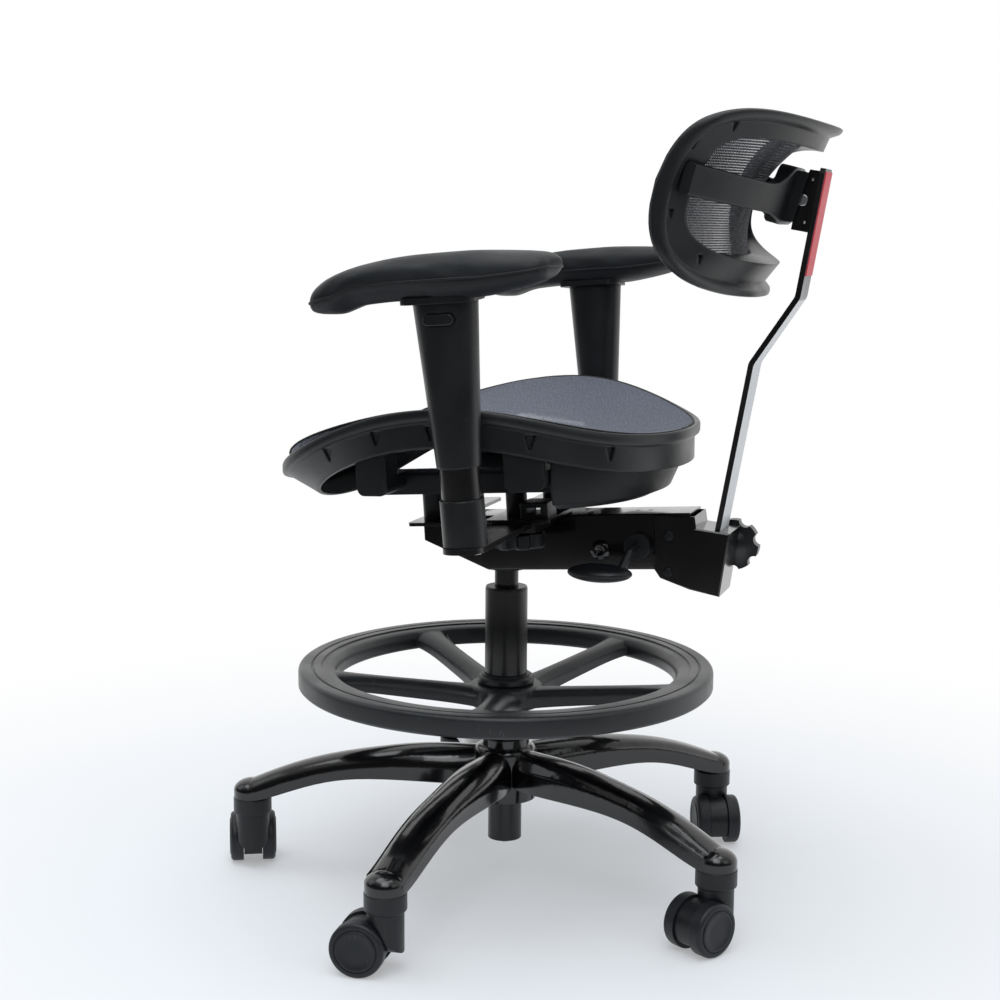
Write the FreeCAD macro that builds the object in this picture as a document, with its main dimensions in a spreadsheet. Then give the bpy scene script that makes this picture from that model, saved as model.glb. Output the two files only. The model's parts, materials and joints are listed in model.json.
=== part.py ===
import FreeCAD, Part
import math
import os
import re

import Sketcher
from FreeCAD import Placement, Rotation, Vector

# Studio chair: a five-leg base on casters, a gas column with a foot ring, a mesh saddle seat,
# arms with padded tops and a small mesh back on a bent flat bar. Millimetres and degrees.
# +Z is up, the chair faces -Y, +X is the sitter's left, and the origin lies on the floor under the column.

SIZES = {
    # shared clearances
    "pin_fit": 0.05,
    "slide_fit": 0.1,
    "soft_gap": 0.3,
    # base: hub, legs and leg ends
    "caster_circle_r": 309,
    "base_yaw": -5.6,
    "hub_d": 74,
    "hub_neck_d": 57,
    "hub_bottom": 102,
    "hub_shoulder": 166,
    "hub_top": 176,
    "leg_wall": 4,
    "leg_root_w": 56,
    "leg_root_inset": 4,
    "leg_root_top": 164,
    "leg_root_h": 42,
    "leg_mid_w": 50,
    "leg_mid_top": 156,
    "leg_mid_h": 33,
    "leg_out_w": 46,
    "leg_out_top": 134.5,
    "leg_out_h": 29,
    "leg_wrist_rise": 9.5,
    "leg_end_d": 45,
    "leg_end_top": 111,
    "collar_d": 46,
    "collar_bottom": 69,
    "collar_h": 19,
    # casters
    "wheel_d": 60,
    "wheel_w": 15.5,
    "wheel_edge_r": 4.5,
    "wheel_gap": 0.7,
    "fork_w": 22,
    "fork_neck_d": 40,
    "fork_hood_d": 55,
    "fork_bottom": 12,
    "fork_corner_r": 6,
    "swivel_gap": 0.3,
    "trail": 25,
    "axle_d": 8,
    "stem_d": 11,
    "stem_h": 38,
    # gas column
    "tube_d": 50,
    "tube_wall": 3,
    "tube_top": 355,
    "tube_tail_d": 40,
    "tube_bottom": 51,
    "bush_h": 60,
    "bush_flange_h": 3,
    "gas_d": 28,
    "gas_wall": 3,
    "gas_bottom": 80,
    "gas_cap_h": 12,
    "taper_start": 396,
    "taper_top": 438,
    "taper_top_d": 26,
    "rod_d": 10,
    "piston_h": 12,
    "piston_top": 390,
    "clip_d": 20,
    "clip_h": 3,
    # foot ring
    "ring_d": 490,
    "ring_w": 45,
    "ring_top": 265,
    "ring_h": 24,
    "ring_yaw": 10.6,
    "ring_groove_inset": 15,
    "ring_groove_w": 3,
    "ring_groove_depth": 1.5,
    "ring_step_inset": 27,
    "ring_step_h": 1.5,
    "ring_edge_r": 5,
    "ring_bowl_r": 10,
    "ring_low_r": 3,
    "spoke_w": 30,
    "spoke_flare": 20,
    "spoke_h": 22,
    "spoke_end_h": 17,
    "spoke_end_drop": 3,
    "spoke_root": 10,
    "spoke_sink": 6,
    "ring_hub_d": 88,
    "ring_hub_top": 241,
    "ring_hub_h": 26,
    "lock_d": 67,
    "lock_h": 12,
    # beam, its socket and plates, measured in the frame that tilts with the seat
    "beam_bottom": 381.7,
    "seat_tilt": 4,
    "beam_w": 56,
    "beam_h": 64,
    "beam_wall": 3,
    "beam_front": 90,
    "nose_back": 12,
    "nose_h": 36,
    "beam_edge_r": 2,
    "accessory_hole_d": 5.5,
    "accessory_hole_y": 170,
    "accessory_pitch": 14.6,
    "socket_d": 46,
    "plate_t": 4,
    "cross_plate_w": 236,
    "cross_plate_front": 17,
    "cross_plate_rear": 92,
    "cross_plate_lift": 4,
    "front_plate_w": 210,
    "front_plate_front": -80,
    "front_plate_rear": -36,
    "post_d": 24,
    "post_x": 70,
    "rear_post_y": 40,
    "front_post_y": -60,
    "bolt_head_d": 13,
    "bolt_head_h": 5.5,
    "clamp_box_x": 92,
    "clamp_box_w": 36,
    "clamp_box_front": 56,
    "clamp_box_l": 32,
    "clamp_box_h": 18,
    "clamp_slot_front": 8,
    "clamp_slot_l": 16,
    "clamp_slot_low": 5,
    "clamp_slot_h": 7,
    # rear housing and back bar
    "housing_w": 64,
    "housing_front": 184,
    "housing_block_front": 229,
    "housing_rear": 270,
    "housing_bottom": 369,
    "housing_top": 445,
    "housing_shelf_rise": 13,
    "housing_lip_in": 3,
    "housing_top_drop": 4,
    "housing_heel_in": 10,
    "housing_belly_in": 42,
    "housing_belly_rise": 6,
    "housing_chin_in": 8,
    "housing_chin_rise": 17,
    "housing_cheek_rise": 28,
    "housing_edge": 1.5,
    "rivet_d": 11,
    "rivet_shank_d": 6,
    "rivet_head_h": 2.5,
    "rivet_y": 201,
    "rivet_high_z": 435,
    "rivet_low_z": 393.5,
    "bar_w": 50,
    "bar_t": 6,
    "bar_foot_z": 392,
    "bar_mouth_y": 254,
    "bar_mouth_z": 455,
    "bar_lean": 9.8,
    "bar_bend_low_z": 631,
    "bar_kink": 33.6,
    "bar_bend_high_z": 704,
    "bar_top_lean": 9.4,
    "bar_top_z": 841,
    "bar_bend_r": 14,
    "strip_bottom_z": 727,
    "strip_t": 1.2,
    "strip_margin": 3,
    # knobs and lever
    "knob_d": 58,
    "knob_h": 20,
    "knob_lobe_d": 15,
    "knob_lobes": 7,
    "stud_d": 8,
    "back_knob_z": 417.5,
    "back_knob_behind": 8,
    "lever_y": 166,
    "lever_z": 421,
    "lever_rod_d": 9,
    "lever_reach": 96,
    "lever_boss_d": 30,
    "lever_boss_l": 10,
    "paddle_l": 73,
    "paddle_w": 46,
    "paddle_t": 20,
    "paddle_y": 139,
    "paddle_z": 400,
    # seat
    "seat_half_w": 241.7,
    "seat_front": 234.6,
    "seat_rear": 221.5,
    "seat_widest_y": 12,
    "seat_front_power": 3.25,
    "seat_rear_power": 2.0,
    "seat_front_z": 492.5,
    "seat_knee_z": 525.2,
    "seat_middle_z": 549.2,
    "seat_hollow_z": 545.9,
    "seat_rear_z": 557.3,
    "seat_side_rise": 40.7,
    "lip_w": 20,
    "lip_t": 13,
    "lip_round": 3,
    "skirt_inset": 6,
    "skirt_t": 4,
    "skirt_depth": 40,
    "skirt_tuck": 38,
    "mesh_t": 1.2,
    "seat_mesh_inset": 8,
    "bucket_inset": 24,
    "bucket_t": 4,
    "bucket_front": 108,
    "bucket_floor": 96,
    "bucket_round": 26,
    "bucket_round_h": 26,
    "boss_d": 18,
    "boss_x": 110,
    "boss_y": 130,
    "tray_bottom": 109,
    "tray_t": 6,
    "tray_half_w": 150,
    "tray_front": -76,
    "tray_rear": 142,
    "rail_w": 20,
    "rail_h": 26,
    "tray_corner_r": 40,
    "lug_l": 38,
    "lug_h": 20,
    "lug_corner_r": 9,
    "lug_gap": 1,
    "lug_front": -89,
    "lug_upright_x": 196,
    "screw_head_d": 10,
    "screw_head_h": 3,
    # arms, measured from the top of the arm bar along the leaning upright
    "arm_y": 47.6,
    "arm_clear": 25.3,
    "arm_lean": 3.4,
    "arm_bar_w": 44,
    "arm_bar_t": 6,
    "arm_bar_inner": 58,
    "arm_bar_over": 25,
    "guide_inner": 50,
    "guide_outer": 116,
    "guide_wall": 5,
    "guide_floor": 5,
    "arm_knob_x": 88,
    "arm_socket_d": 46,
    "arm_socket_h": 50,
    "arm_socket_floor": 8,
    "arm_socket_round": 1.5,
    "arm_tube_wall": 3,
    "arm_tube_floor": 6,
    "arm_tube_d": 41,
    "arm_tube_top": 190,
    "sleeve_bottom": 83,
    "sleeve_top": 250,
    "sleeve_low_d": 46,
    "sleeve_high_w": 50,
    "sleeve_high_l": 68,
    "sleeve_bore_top": 218,
    "button_z": 234,
    "button_l": 32,
    "button_h": 11,
    "button_depth": 9,
    "button_proud": 2.5,
    "pad_bracket_t": 7,
    "pad_bracket_w": 58,
    "pad_bracket_front": 42,
    "pad_bracket_rear": 36,
    "pad_front": 141,
    "pad_rear": 119,
    "pad_w": 94,
    "pad_h": 38,
    "arm_screw_pitch": 24,
    # back
    "back_y": 300.5,
    "back_z": 801.6,
    "back_tilt": 15.3,
    "back_half_w": 212.8,
    "back_half_h": 97.9,
    "back_power": 5.7,
    "back_arch": 23,
    "back_slope": 14.1,
    "back_wrap": 84.2,
    "back_wrap_growth": 9,
    "back_wrap_ease": 16,
    "back_crown": 24,
    "back_lip_w": 11,
    "back_lip_t": 13,
    "back_lip_round": 4,
    "back_valley": 6,
    "back_band_side": 34,
    "back_band_top": 29,
    "back_band_bottom": 38,
    "back_rear_side": 9,
    "back_rear_top": 13,
    "back_rear_bottom": 23,
    "back_mesh_inset": 5,
    "pivot_z": 807,
    "pivot_ahead": 13.5,
    "pivot_pin_d": 8,
    "pivot_head_d": 12.8,
    "pivot_head_h": 2,
    "bracket_t": 5,
    "bracket_w": 44,
    "bracket_low": 35,
    "bracket_high": 31,
    "cheek_t": 4,
    "cheek_ahead": 6,
    "cheek_top_lean": 24,
    "bracket_screw_d": 4,
    "bracket_screw_edge": 2.3,
    "tongue_w": 26,
    "tongue_r": 8,
    "yoke_end_x": 197,
    "yoke_end_h": 33,
    "yoke_waist_h": 30,
    "yoke_hub_h": 63,
    "yoke_hub_half_w": 27,
    "yoke_hub_z": 813,
    "yoke_hub_ahead": 11.5,
    "yoke_hub_t": 20,
    "yoke_t": 11,
    "yoke_edge_r": 3.5,
    "yoke_rise": 9,
    "yoke_stand": 1,
    "yoke_flare": 0.3,
    "yoke_cheek_t": 4,
    "yoke_cheek_high": 29,
    "yoke_cheek_high_gap": 10.5,
    "yoke_cheek_low": 24,
    "yoke_cheek_low_gap": 18.5,
}

LEG_COUNT = 5
# Part of a leg's height that its arched crown takes.
CROWN_SHARE = 0.62
# Yaw of each caster's trail, leg by leg, as the casters happen to stand.
CASTER_YAWS = (-85.0, -31.4, 24.2, 108.0, -153.6)

doc = FreeCAD.newDocument("studio_chair")
sheet = doc.addObject("Spreadsheet::Sheet", "sizes")
for row, (alias, value) in enumerate(SIZES.items(), start=1):
    sheet.set(f"A{row}", alias.replace("_", " "))
    sheet.set(f"B{row}", str(value))
    sheet.setAlias(f"B{row}", alias)
doc.recompute()


class Sheet:
    """Reads a driving size from the spreadsheet by its alias."""

    def __getattr__(self, alias):
        return float(sheet.get(alias))


dim = Sheet()
nodes = []

UP = Vector(0, 0, 1)
ACROSS = Vector(1, 0, 0)
ALONG = Vector(0, 1, 0)
# The seat, the arms and the beam lean forward together about the foot of the beam.
SEAT = Placement(Vector(0, 0, dim.beam_bottom), Rotation(ACROSS, dim.seat_tilt))


def formula(text):
    """Expression text with each alias written as a cell of the sheet."""
    return re.sub(r"[a-z]\w*", lambda word: "sizes." + word[0] if word[0] in SIZES else word[0], text)


def node(obj, label):
    """Names a sub-part and puts it on the list of files."""
    obj.Label = label
    nodes.append(obj)
    return obj


def feature(label, shape, placement=Placement()):
    """A sub-part whose shape comes from Part functions."""
    obj = doc.addObject("Part::Feature", label)
    obj.Shape = shape
    obj.Placement = placement
    return node(obj, label)


def group(label, shapes, placement=Placement()):
    """A sub-part made of several separate solids."""
    return feature(label, Part.makeCompound(shapes), placement)


def primitive(kind, name, at=("0", "0", "0"), **sizes):
    """A Part primitive whose sizes and place are bound to the sheet."""
    obj = doc.addObject("Part::" + kind, name)
    for prop, text in sizes.items():
        obj.setExpression(prop, formula(text))
    for axis, text in zip("xyz", at):
        obj.setExpression(".Placement.Base." + axis, formula(text))
    return obj


def box(name, length, width, height, at):
    return primitive("Box", name, at, Length=length, Width=width, Height=height)


def cylinder(name, diameter, height, at):
    return primitive("Cylinder", name, at, Radius=f"({diameter}) / 2", Height=height)


def fuse(name, *parts):
    obj = doc.addObject("Part::MultiFuse", name)
    obj.Shapes = list(parts)
    return obj


def cut(name, base, tool):
    obj = doc.addObject("Part::Cut", name)
    obj.Base = base
    obj.Tool = tool
    return obj


def on_seat(obj):
    """Puts a finished object into the frame that tilts with the seat."""
    obj.Placement = Placement(Vector(), Rotation(ACROSS, 1))
    obj.setExpression(".Placement.Base.z", "sizes.beam_bottom")
    obj.setExpression(".Placement.Rotation.Angle", "sizes.seat_tilt")
    return obj


def origin_feature(body, role):
    return next(item for item in body.Origin.OriginFeatures if item.Role == role)


def outline_sketch(body, name, role, points):
    """A closed polygon sketch whose corners are bound to the sheet."""
    sketch = body.newObject("Sketcher::SketchObject", name)
    sketch.AttachmentSupport = [(origin_feature(body, role), "")]
    sketch.MapMode = "FlatFace"
    texts = [(formula(x), formula(y)) for x, y in points]
    corners = [Vector(float(sketch.evalExpression(x)), float(sketch.evalExpression(y)), 0) for x, y in texts]
    count = len(corners)
    for index in range(count):
        sketch.addGeometry(Part.LineSegment(corners[index], corners[(index + 1) % count]))
    for index in range(count):
        sketch.addConstraint(Sketcher.Constraint("Coincident", index, 2, (index + 1) % count, 1))
    for index, (x, y) in enumerate(texts):
        for kind, text, value in (("DistanceX", x, corners[index].x), ("DistanceY", y, corners[index].y)):
            place = sketch.addConstraint(Sketcher.Constraint(kind, -1, 1, index, 1, value))
            sketch.setExpression(f"Constraints[{place}]", text)
    return sketch


def circle_sketch(body, name, role, circles):
    """A sketch of circles, each (x, y, diameter), bound to the sheet."""
    sketch = body.newObject("Sketcher::SketchObject", name)
    sketch.AttachmentSupport = [(origin_feature(body, role), "")]
    sketch.MapMode = "FlatFace"
    for index, (x, y, diameter) in enumerate(circles):
        texts = [formula(text) for text in (x, y, diameter)]
        px, py, across = (float(sketch.evalExpression(text)) for text in texts)
        sketch.addGeometry(Part.Circle(Vector(px, py, 0), UP, across / 2))
        for kind, text, value in (("DistanceX", texts[0], px), ("DistanceY", texts[1], py)):
            place = sketch.addConstraint(Sketcher.Constraint(kind, -1, 1, index, 3, value))
            sketch.setExpression(f"Constraints[{place}]", text)
        place = sketch.addConstraint(Sketcher.Constraint("Diameter", index, across))
        sketch.setExpression(f"Constraints[{place}]", texts[2])
    return sketch


def pad(body, name, sketch, length, side="Symmetric"):
    obj = body.newObject("PartDesign::Pad", name)
    obj.Profile = sketch
    obj.SideType = side
    obj.setExpression("Length", formula(length))
    return obj


def pocket(body, name, sketch, length, side="Symmetric"):
    obj = body.newObject("PartDesign::Pocket", name)
    obj.Profile = sketch
    obj.SideType = side
    obj.setExpression("Length", formula(length))
    return obj


def turn(body, name, sketch):
    obj = body.newObject("PartDesign::Revolution", name)
    obj.Profile = sketch
    obj.ReferenceAxis = (sketch, ["V_Axis"])
    obj.Angle = 360
    return obj


def turned(label, points):
    """A solid turned about Z from bound (radius, height) corners."""
    body = doc.addObject("PartDesign::Body", label)
    turn(body, label + "_turn", outline_sketch(body, label + "_section", "XZ_Plane", points))
    return body


def turned_body(label, points):
    """A turned sub-part."""
    return node(turned(label, points), label)


def quarter_round(x, z, radius, start):
    """Bound corners along a quarter round about a bound centre, from a start angle."""
    corners = []
    for step in range(5):
        angle = math.radians(start + 90 * step / 4)
        right, up = math.cos(angle), math.sin(angle)
        corners.append((f"{x} + {radius} * ({right:.5f})", f"{z} + {radius} * ({up:.5f})"))
    return corners


def rod(diameter, start, end):
    """A plain cylinder between two points."""
    way = end - start
    return Part.makeCylinder(diameter / 2, way.Length, start, way)


def block(low, high):
    """A plain box between two corners."""
    span = high - low
    return Part.makeBox(span.x, span.y, span.z, low)


def polygon_face(points):
    return Part.Face(Part.makePolygon(list(points) + [points[0]]))


def edges_where(shape, test):
    return [edge for edge in shape.Edges if test(edge)]


def at_leg(index):
    """Angle of a leg about the column."""
    return dim.base_yaw + index * 360 / LEG_COUNT


def leg_point(index):
    angle = math.radians(at_leg(index))
    return Vector(math.cos(angle), math.sin(angle), 0) * dim.caster_circle_r


# Base


def line(start, end):
    return Part.LineSegment(start, end).toShape()


def arch(reach, half, shoulder, crown, sweep=math.pi):
    """Elliptic crown of a leg, from its right flank over the top for a sweep of the angle."""
    points = []
    for step in range(9):
        angle = sweep * step / 8
        points.append(Vector(reach, half * math.cos(angle), shoulder + (crown - shoulder) * math.sin(angle)))
    curve = Part.BSplineCurve()
    curve.interpolate(points, InitialTangent=UP, FinalTangent=Vector(0, -math.sin(sweep), math.cos(sweep)))
    return curve.toShape()


def leg_section(reach, width, top, height, inset=0.0, drop=0.0):
    """Closed section across a leg: flat underside, upright flanks and an arched crown."""
    half = width / 2 - inset
    bottom = top - height - drop
    shoulder = top - height * CROWN_SHARE
    low_left, low_right = Vector(reach, -half, bottom), Vector(reach, half, bottom)
    left, right = Vector(reach, -half, shoulder), Vector(reach, half, shoulder)
    crown = arch(reach, half, shoulder, top - inset)
    return Part.Wire([line(low_left, low_right), line(low_right, right), crown, line(left, low_left)])


def leg_end(reach, width, top, height):
    """Round end of a leg, turned from one half of its section."""
    half = width / 2
    bottom = top - height
    shoulder = top - height * CROWN_SHARE
    foot, low = Vector(reach, 0, bottom), Vector(reach, half, bottom)
    side, peak = Vector(reach, half, shoulder), Vector(reach, 0, top)
    crown = arch(reach, half, shoulder, top, math.pi / 2)
    outline = Part.Wire([line(foot, low), line(low, side), crown, line(peak, foot)])
    return Part.Face(outline).revolve(foot, UP, 360)


def leg_stations():
    """Reach, width, crown height and depth of the leg from the hub to its end."""
    reach = dim.caster_circle_r
    root = dim.hub_d / 2 - dim.leg_root_inset
    root_w = 2 * root * math.tan(math.pi / LEG_COUNT) - 2
    end_h = dim.leg_end_top - dim.collar_bottom - dim.collar_h
    wrist = dim.leg_wrist_rise
    return [
        (root, root_w, dim.leg_root_top, dim.leg_root_h),
        (reach * 0.2, dim.leg_root_w - 2, dim.leg_root_top - 0.2, dim.leg_root_h - 0.5),
        (reach * 0.33, dim.leg_root_w, dim.leg_root_top - 1.5, dim.leg_root_h - 3),
        (reach * 0.5, dim.leg_mid_w, dim.leg_mid_top, dim.leg_mid_h),
        (reach * 0.81, dim.leg_out_w, dim.leg_out_top, dim.leg_out_h),
        (reach * 0.93, dim.leg_end_d, dim.leg_end_top + wrist, end_h + wrist / 2),
        (reach, dim.leg_end_d, dim.leg_end_top, end_h),
    ]


def leg_shape():
    stations = leg_stations()
    outer = Part.makeLoft([leg_section(*station) for station in stations], True)
    hollow = [leg_section(*station, inset=dim.leg_wall, drop=dim.leg_wall) for station in stations[2:5]]
    leg = outer.cut(Part.makeLoft(hollow, True))
    return leg.fuse(leg_end(*stations[-1]))


def make_base():
    leg = leg_shape()
    hub = Part.makeCylinder(dim.hub_d / 2, dim.hub_shoulder - dim.hub_bottom, Vector(0, 0, dim.hub_bottom))
    shoulder = edges_where(hub, lambda edge: edge.BoundBox.ZMin > dim.hub_shoulder - 1e-3)
    hub = hub.makeFillet((dim.hub_d - dim.hub_neck_d) / 2 - 1, shoulder)
    neck = Part.makeCylinder(dim.hub_neck_d / 2, dim.hub_top - dim.hub_bottom, Vector(0, 0, dim.hub_bottom))
    star = hub.fuse(neck)
    for index in range(LEG_COUNT):
        turned = leg.copy()
        turned.rotate(Vector(), UP, at_leg(index))
        star = star.fuse(turned)
    bore = Part.makeCylinder(dim.tube_tail_d / 2 + dim.pin_fit, dim.hub_top, Vector())
    star = star.cut(bore)
    stem_r = dim.stem_d / 2 + dim.pin_fit
    stem_top = dim.collar_bottom + dim.stem_h + dim.swivel_gap
    collar_top = dim.collar_bottom + dim.collar_h
    for index in range(LEG_COUNT):
        seat = Part.makeCylinder(dim.collar_d / 2 + dim.soft_gap, collar_top, leg_point(index))
        star = star.cut([seat, Part.makeCylinder(stem_r, stem_top, leg_point(index))])
    feature("star_base", star.removeSplitter())
    collars = []
    for index in range(LEG_COUNT):
        at = leg_point(index) + Vector(0, 0, dim.collar_bottom)
        collar = Part.makeCylinder(dim.collar_d / 2, dim.collar_h, at)
        low = edges_where(collar, lambda edge: edge.BoundBox.ZMax < dim.collar_bottom + 1e-3)
        collar = collar.makeFillet(1.5, low)
        collars.append(collar.cut(Part.makeCylinder(stem_r, dim.collar_h, at)))
    group("leg_end_collars", collars)


def wheel_shape(side):
    """One wheel on the axle, with its flat outer face towards the given side of Y."""
    inner = dim.fork_w / 2 + dim.wheel_gap
    centre = Vector(dim.trail, side * inner, dim.wheel_d / 2)
    way = Vector(0, side, 0)
    wheel = Part.makeCylinder(dim.wheel_d / 2, dim.wheel_w, centre, way)
    outer_y = side * (inner + dim.wheel_w)
    rim = edges_where(wheel, lambda edge: abs(edge.CenterOfMass.y - outer_y) < 1e-3 and edge.Closed)
    wheel = wheel.makeFillet(dim.wheel_edge_r, rim)
    dish_r = dim.wheel_d / 2 - dim.wheel_edge_r - 2
    groove = Part.makeCylinder(dish_r, 1, centre + way * (dim.wheel_w - 0.8), way)
    groove = groove.cut(Part.makeCylinder(dish_r - 1.2, 2, centre + way * (dim.wheel_w - 1), way))
    bore = Part.makeCylinder(dim.axle_d / 2 + dim.pin_fit, dim.wheel_w * 0.75, centre, way)
    return wheel.cut([groove, bore])


def fork_shape():
    """Stem, neck, hood and axle of a caster, with the stem on Z and the axle behind it along Y."""
    top = dim.collar_bottom - dim.swivel_gap
    neck_r = dim.fork_neck_d / 2
    axle_at = Vector(dim.trail, 0, dim.wheel_d / 2)
    neck = Part.makeCylinder(neck_r, top, Vector())
    tongue_z = dim.wheel_d / 2 + neck_r * 0.7
    tongue = rod(dim.fork_neck_d, Vector(-dim.wheel_d, 0, tongue_z), Vector(dim.wheel_d, 0, tongue_z))
    tall = block(Vector(-dim.wheel_d, -neck_r, tongue_z), Vector(dim.wheel_d, neck_r, top))
    neck = neck.common(tongue.fuse(tall))
    half = dim.fork_w / 2
    for side in (-1, 1):
        start = axle_at + Vector(0, side * half, 0)
        room = Part.makeCylinder(dim.wheel_d / 2 + dim.wheel_gap, neck_r, start, Vector(0, side, 0))
        neck = neck.cut(room)
    hood = rod(dim.fork_hood_d, axle_at - ALONG * half, axle_at + ALONG * half)
    hood = hood.cut(block(Vector(-dim.wheel_d, -half, -1), Vector(2 * dim.wheel_d, half, dim.fork_bottom)))
    corners = edges_where(hood, lambda edge: abs(edge.tangentAt(edge.FirstParameter).y) > 0.9
                          and edge.BoundBox.ZMax < dim.fork_bottom + 1e-3)
    hood = hood.makeFillet(dim.fork_corner_r, corners)
    reach = half + dim.wheel_gap + dim.wheel_w * 0.7
    axle = rod(dim.axle_d, axle_at - ALONG * reach, axle_at + ALONG * reach)
    stem = rod(dim.stem_d, Vector(0, 0, top - 5), Vector(0, 0, dim.collar_bottom + dim.stem_h))
    return neck.fuse([hood, axle, stem]).removeSplitter()


def make_casters():
    fork = fork_shape()
    wheels = Part.makeCompound([wheel_shape(-1), wheel_shape(1)])
    for index, yaw in enumerate(CASTER_YAWS):
        place = Placement(leg_point(index), Rotation(UP, yaw))
        feature(f"caster_fork_{index + 1}", fork, place)
        feature(f"caster_wheels_{index + 1}", wheels, place)


# Gas column and foot ring


def make_column():
    bore = "tube_d / 2 - tube_wall"
    tail_bore = "tube_tail_d / 2 - tube_wall"
    step = "hub_top + tube_wall + 2"
    floor = "tube_bottom + tube_wall + 1"
    turned_body("stand_tube", [
        ("rod_d / 2 + pin_fit", "tube_bottom"),
        ("tube_tail_d / 2", "tube_bottom"),
        ("tube_tail_d / 2", "hub_top"),
        ("tube_d / 2", "hub_top"),
        ("tube_d / 2", "tube_top"),
        (bore, "tube_top"),
        (bore, step),
        (tail_bore, step),
        (tail_bore, floor),
        ("rod_d / 2 + pin_fit", floor),
    ])
    turned_body("guide_bush", [
        ("gas_d / 2 + pin_fit", "tube_top - bush_h"),
        (bore + " - pin_fit", "tube_top - bush_h"),
        (bore + " - pin_fit", "tube_top"),
        ("tube_d / 2", "tube_top"),
        ("tube_d / 2 - 1", "tube_top + bush_flange_h"),
        ("gas_d / 2 + pin_fit", "tube_top + bush_flange_h"),
    ])
    cavity = "gas_d / 2 - gas_wall"
    turned_body("gas_cylinder", [
        ("rod_d / 2 + pin_fit", "gas_bottom"),
        ("gas_d / 2", "gas_bottom"),
        ("gas_d / 2", "taper_start"),
        ("taper_top_d / 2", "taper_top"),
        ("0", "taper_top"),
        ("0", "taper_start"),
        (cavity, "taper_start"),
        (cavity, "gas_bottom + gas_cap_h"),
        ("rod_d / 2 + pin_fit", "gas_bottom + gas_cap_h"),
    ])
    piston_r = dim.gas_d / 2 - dim.gas_wall - dim.pin_fit
    stalk = rod(dim.rod_d, Vector(0, 0, dim.tube_bottom - 2 * dim.clip_h), Vector(0, 0, dim.piston_top))
    head = Part.makeCylinder(piston_r, dim.piston_h, Vector(0, 0, dim.piston_top - dim.piston_h))
    clip_at = Vector(0, 0, dim.tube_bottom - dim.clip_h)
    clip = Part.makeCylinder(dim.clip_d / 2, dim.clip_h, clip_at)
    clip = clip.cut(Part.makeCylinder(dim.rod_d / 2 + dim.pin_fit, dim.clip_h, clip_at))
    group("piston_rod", [stalk.fuse(head), clip])


def spoke_shape():
    """Spoke along X that widens into the hub and into the ring, with the crowned section of a leg."""
    near = dim.ring_hub_d / 2 - dim.spoke_root
    far = dim.ring_d / 2 - dim.ring_w + dim.spoke_sink
    low, high = dim.ring_hub_top - dim.ring_step_h, dim.ring_top - dim.spoke_end_drop
    sections = []
    for share in (0, 0.15, 0.35, 0.65, 0.85, 1):
        width = dim.spoke_w + dim.spoke_flare * (2 * share - 1) ** 4
        height = dim.spoke_h + (dim.spoke_end_h - dim.spoke_h) * share
        sections.append(leg_section(near + (far - near) * share, width, low + (high - low) * share, height))
    return Part.makeLoft(sections, True)


def make_foot_ring():
    inner = "ring_d / 2 - ring_w"
    outer = "ring_d / 2"
    low = "ring_top - ring_h"
    groove_out = outer + " - ring_groove_inset"
    groove_in = groove_out + " - ring_groove_w"
    step = outer + " - ring_step_inset"
    ring = turned("ring_rim", [
        (inner + " + ring_low_r", low),
        (outer + " - ring_low_r", low),
        (outer, low + " + ring_low_r"),
        *quarter_round(outer + " - ring_edge_r", "ring_top - ring_edge_r", "ring_edge_r", 0),
        (groove_out, "ring_top"),
        (groove_out, "ring_top - ring_groove_depth"),
        (groove_in, "ring_top - ring_groove_depth"),
        (groove_in, "ring_top"),
        (step, "ring_top"),
        (step, "ring_top - ring_step_h"),
        *quarter_round(inner + " + ring_bowl_r", "ring_top - ring_step_h - ring_bowl_r", "ring_bowl_r", 90),
        (inner, low + " + ring_low_r"),
    ])
    hub_low = "ring_hub_top - ring_hub_h"
    hub = turned("ring_hub", [
        ("tube_d / 2 + slide_fit", hub_low),
        ("ring_hub_d / 2 - ring_low_r", hub_low),
        ("ring_hub_d / 2", hub_low + " + ring_low_r"),
        *quarter_round("ring_hub_d / 2 - ring_edge_r", "ring_hub_top - ring_edge_r", "ring_edge_r", 0),
        ("tube_d / 2 + slide_fit", "ring_hub_top"),
    ])
    spokes = []
    for index in range(LEG_COUNT):
        spoke = spoke_shape()
        spoke.rotate(Vector(), UP, index * 360 / LEG_COUNT)
        spokes.append(spoke)
    spider = doc.addObject("Part::Feature", "spokes")
    spider.Shape = spokes[0].fuse(spokes[1:])
    wheel = fuse("foot_ring", ring, hub, spider)
    wheel.Placement = Placement(Vector(), Rotation(UP, 1))
    wheel.setExpression(".Placement.Rotation.Angle", "sizes.ring_yaw")
    node(wheel, "foot_ring")
    turned_body("foot_ring_collar", [
        ("tube_d / 2 + slide_fit", "ring_hub_top + soft_gap"),
        ("lock_d / 2 - 2", "ring_hub_top + soft_gap"),
        ("lock_d / 2", "ring_hub_top + soft_gap + 2"),
        ("lock_d / 2", "ring_hub_top + soft_gap + lock_h - 4"),
        ("lock_d / 2 - 2", "ring_hub_top + soft_gap + lock_h - 2"),
        ("lock_d / 2 - 5", "ring_hub_top + soft_gap + lock_h - 2"),
        ("lock_d / 2 - 5", "ring_hub_top + soft_gap + lock_h"),
        ("tube_d / 2 + slide_fit", "ring_hub_top + soft_gap + lock_h"),
    ])


# Beam and plates


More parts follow.
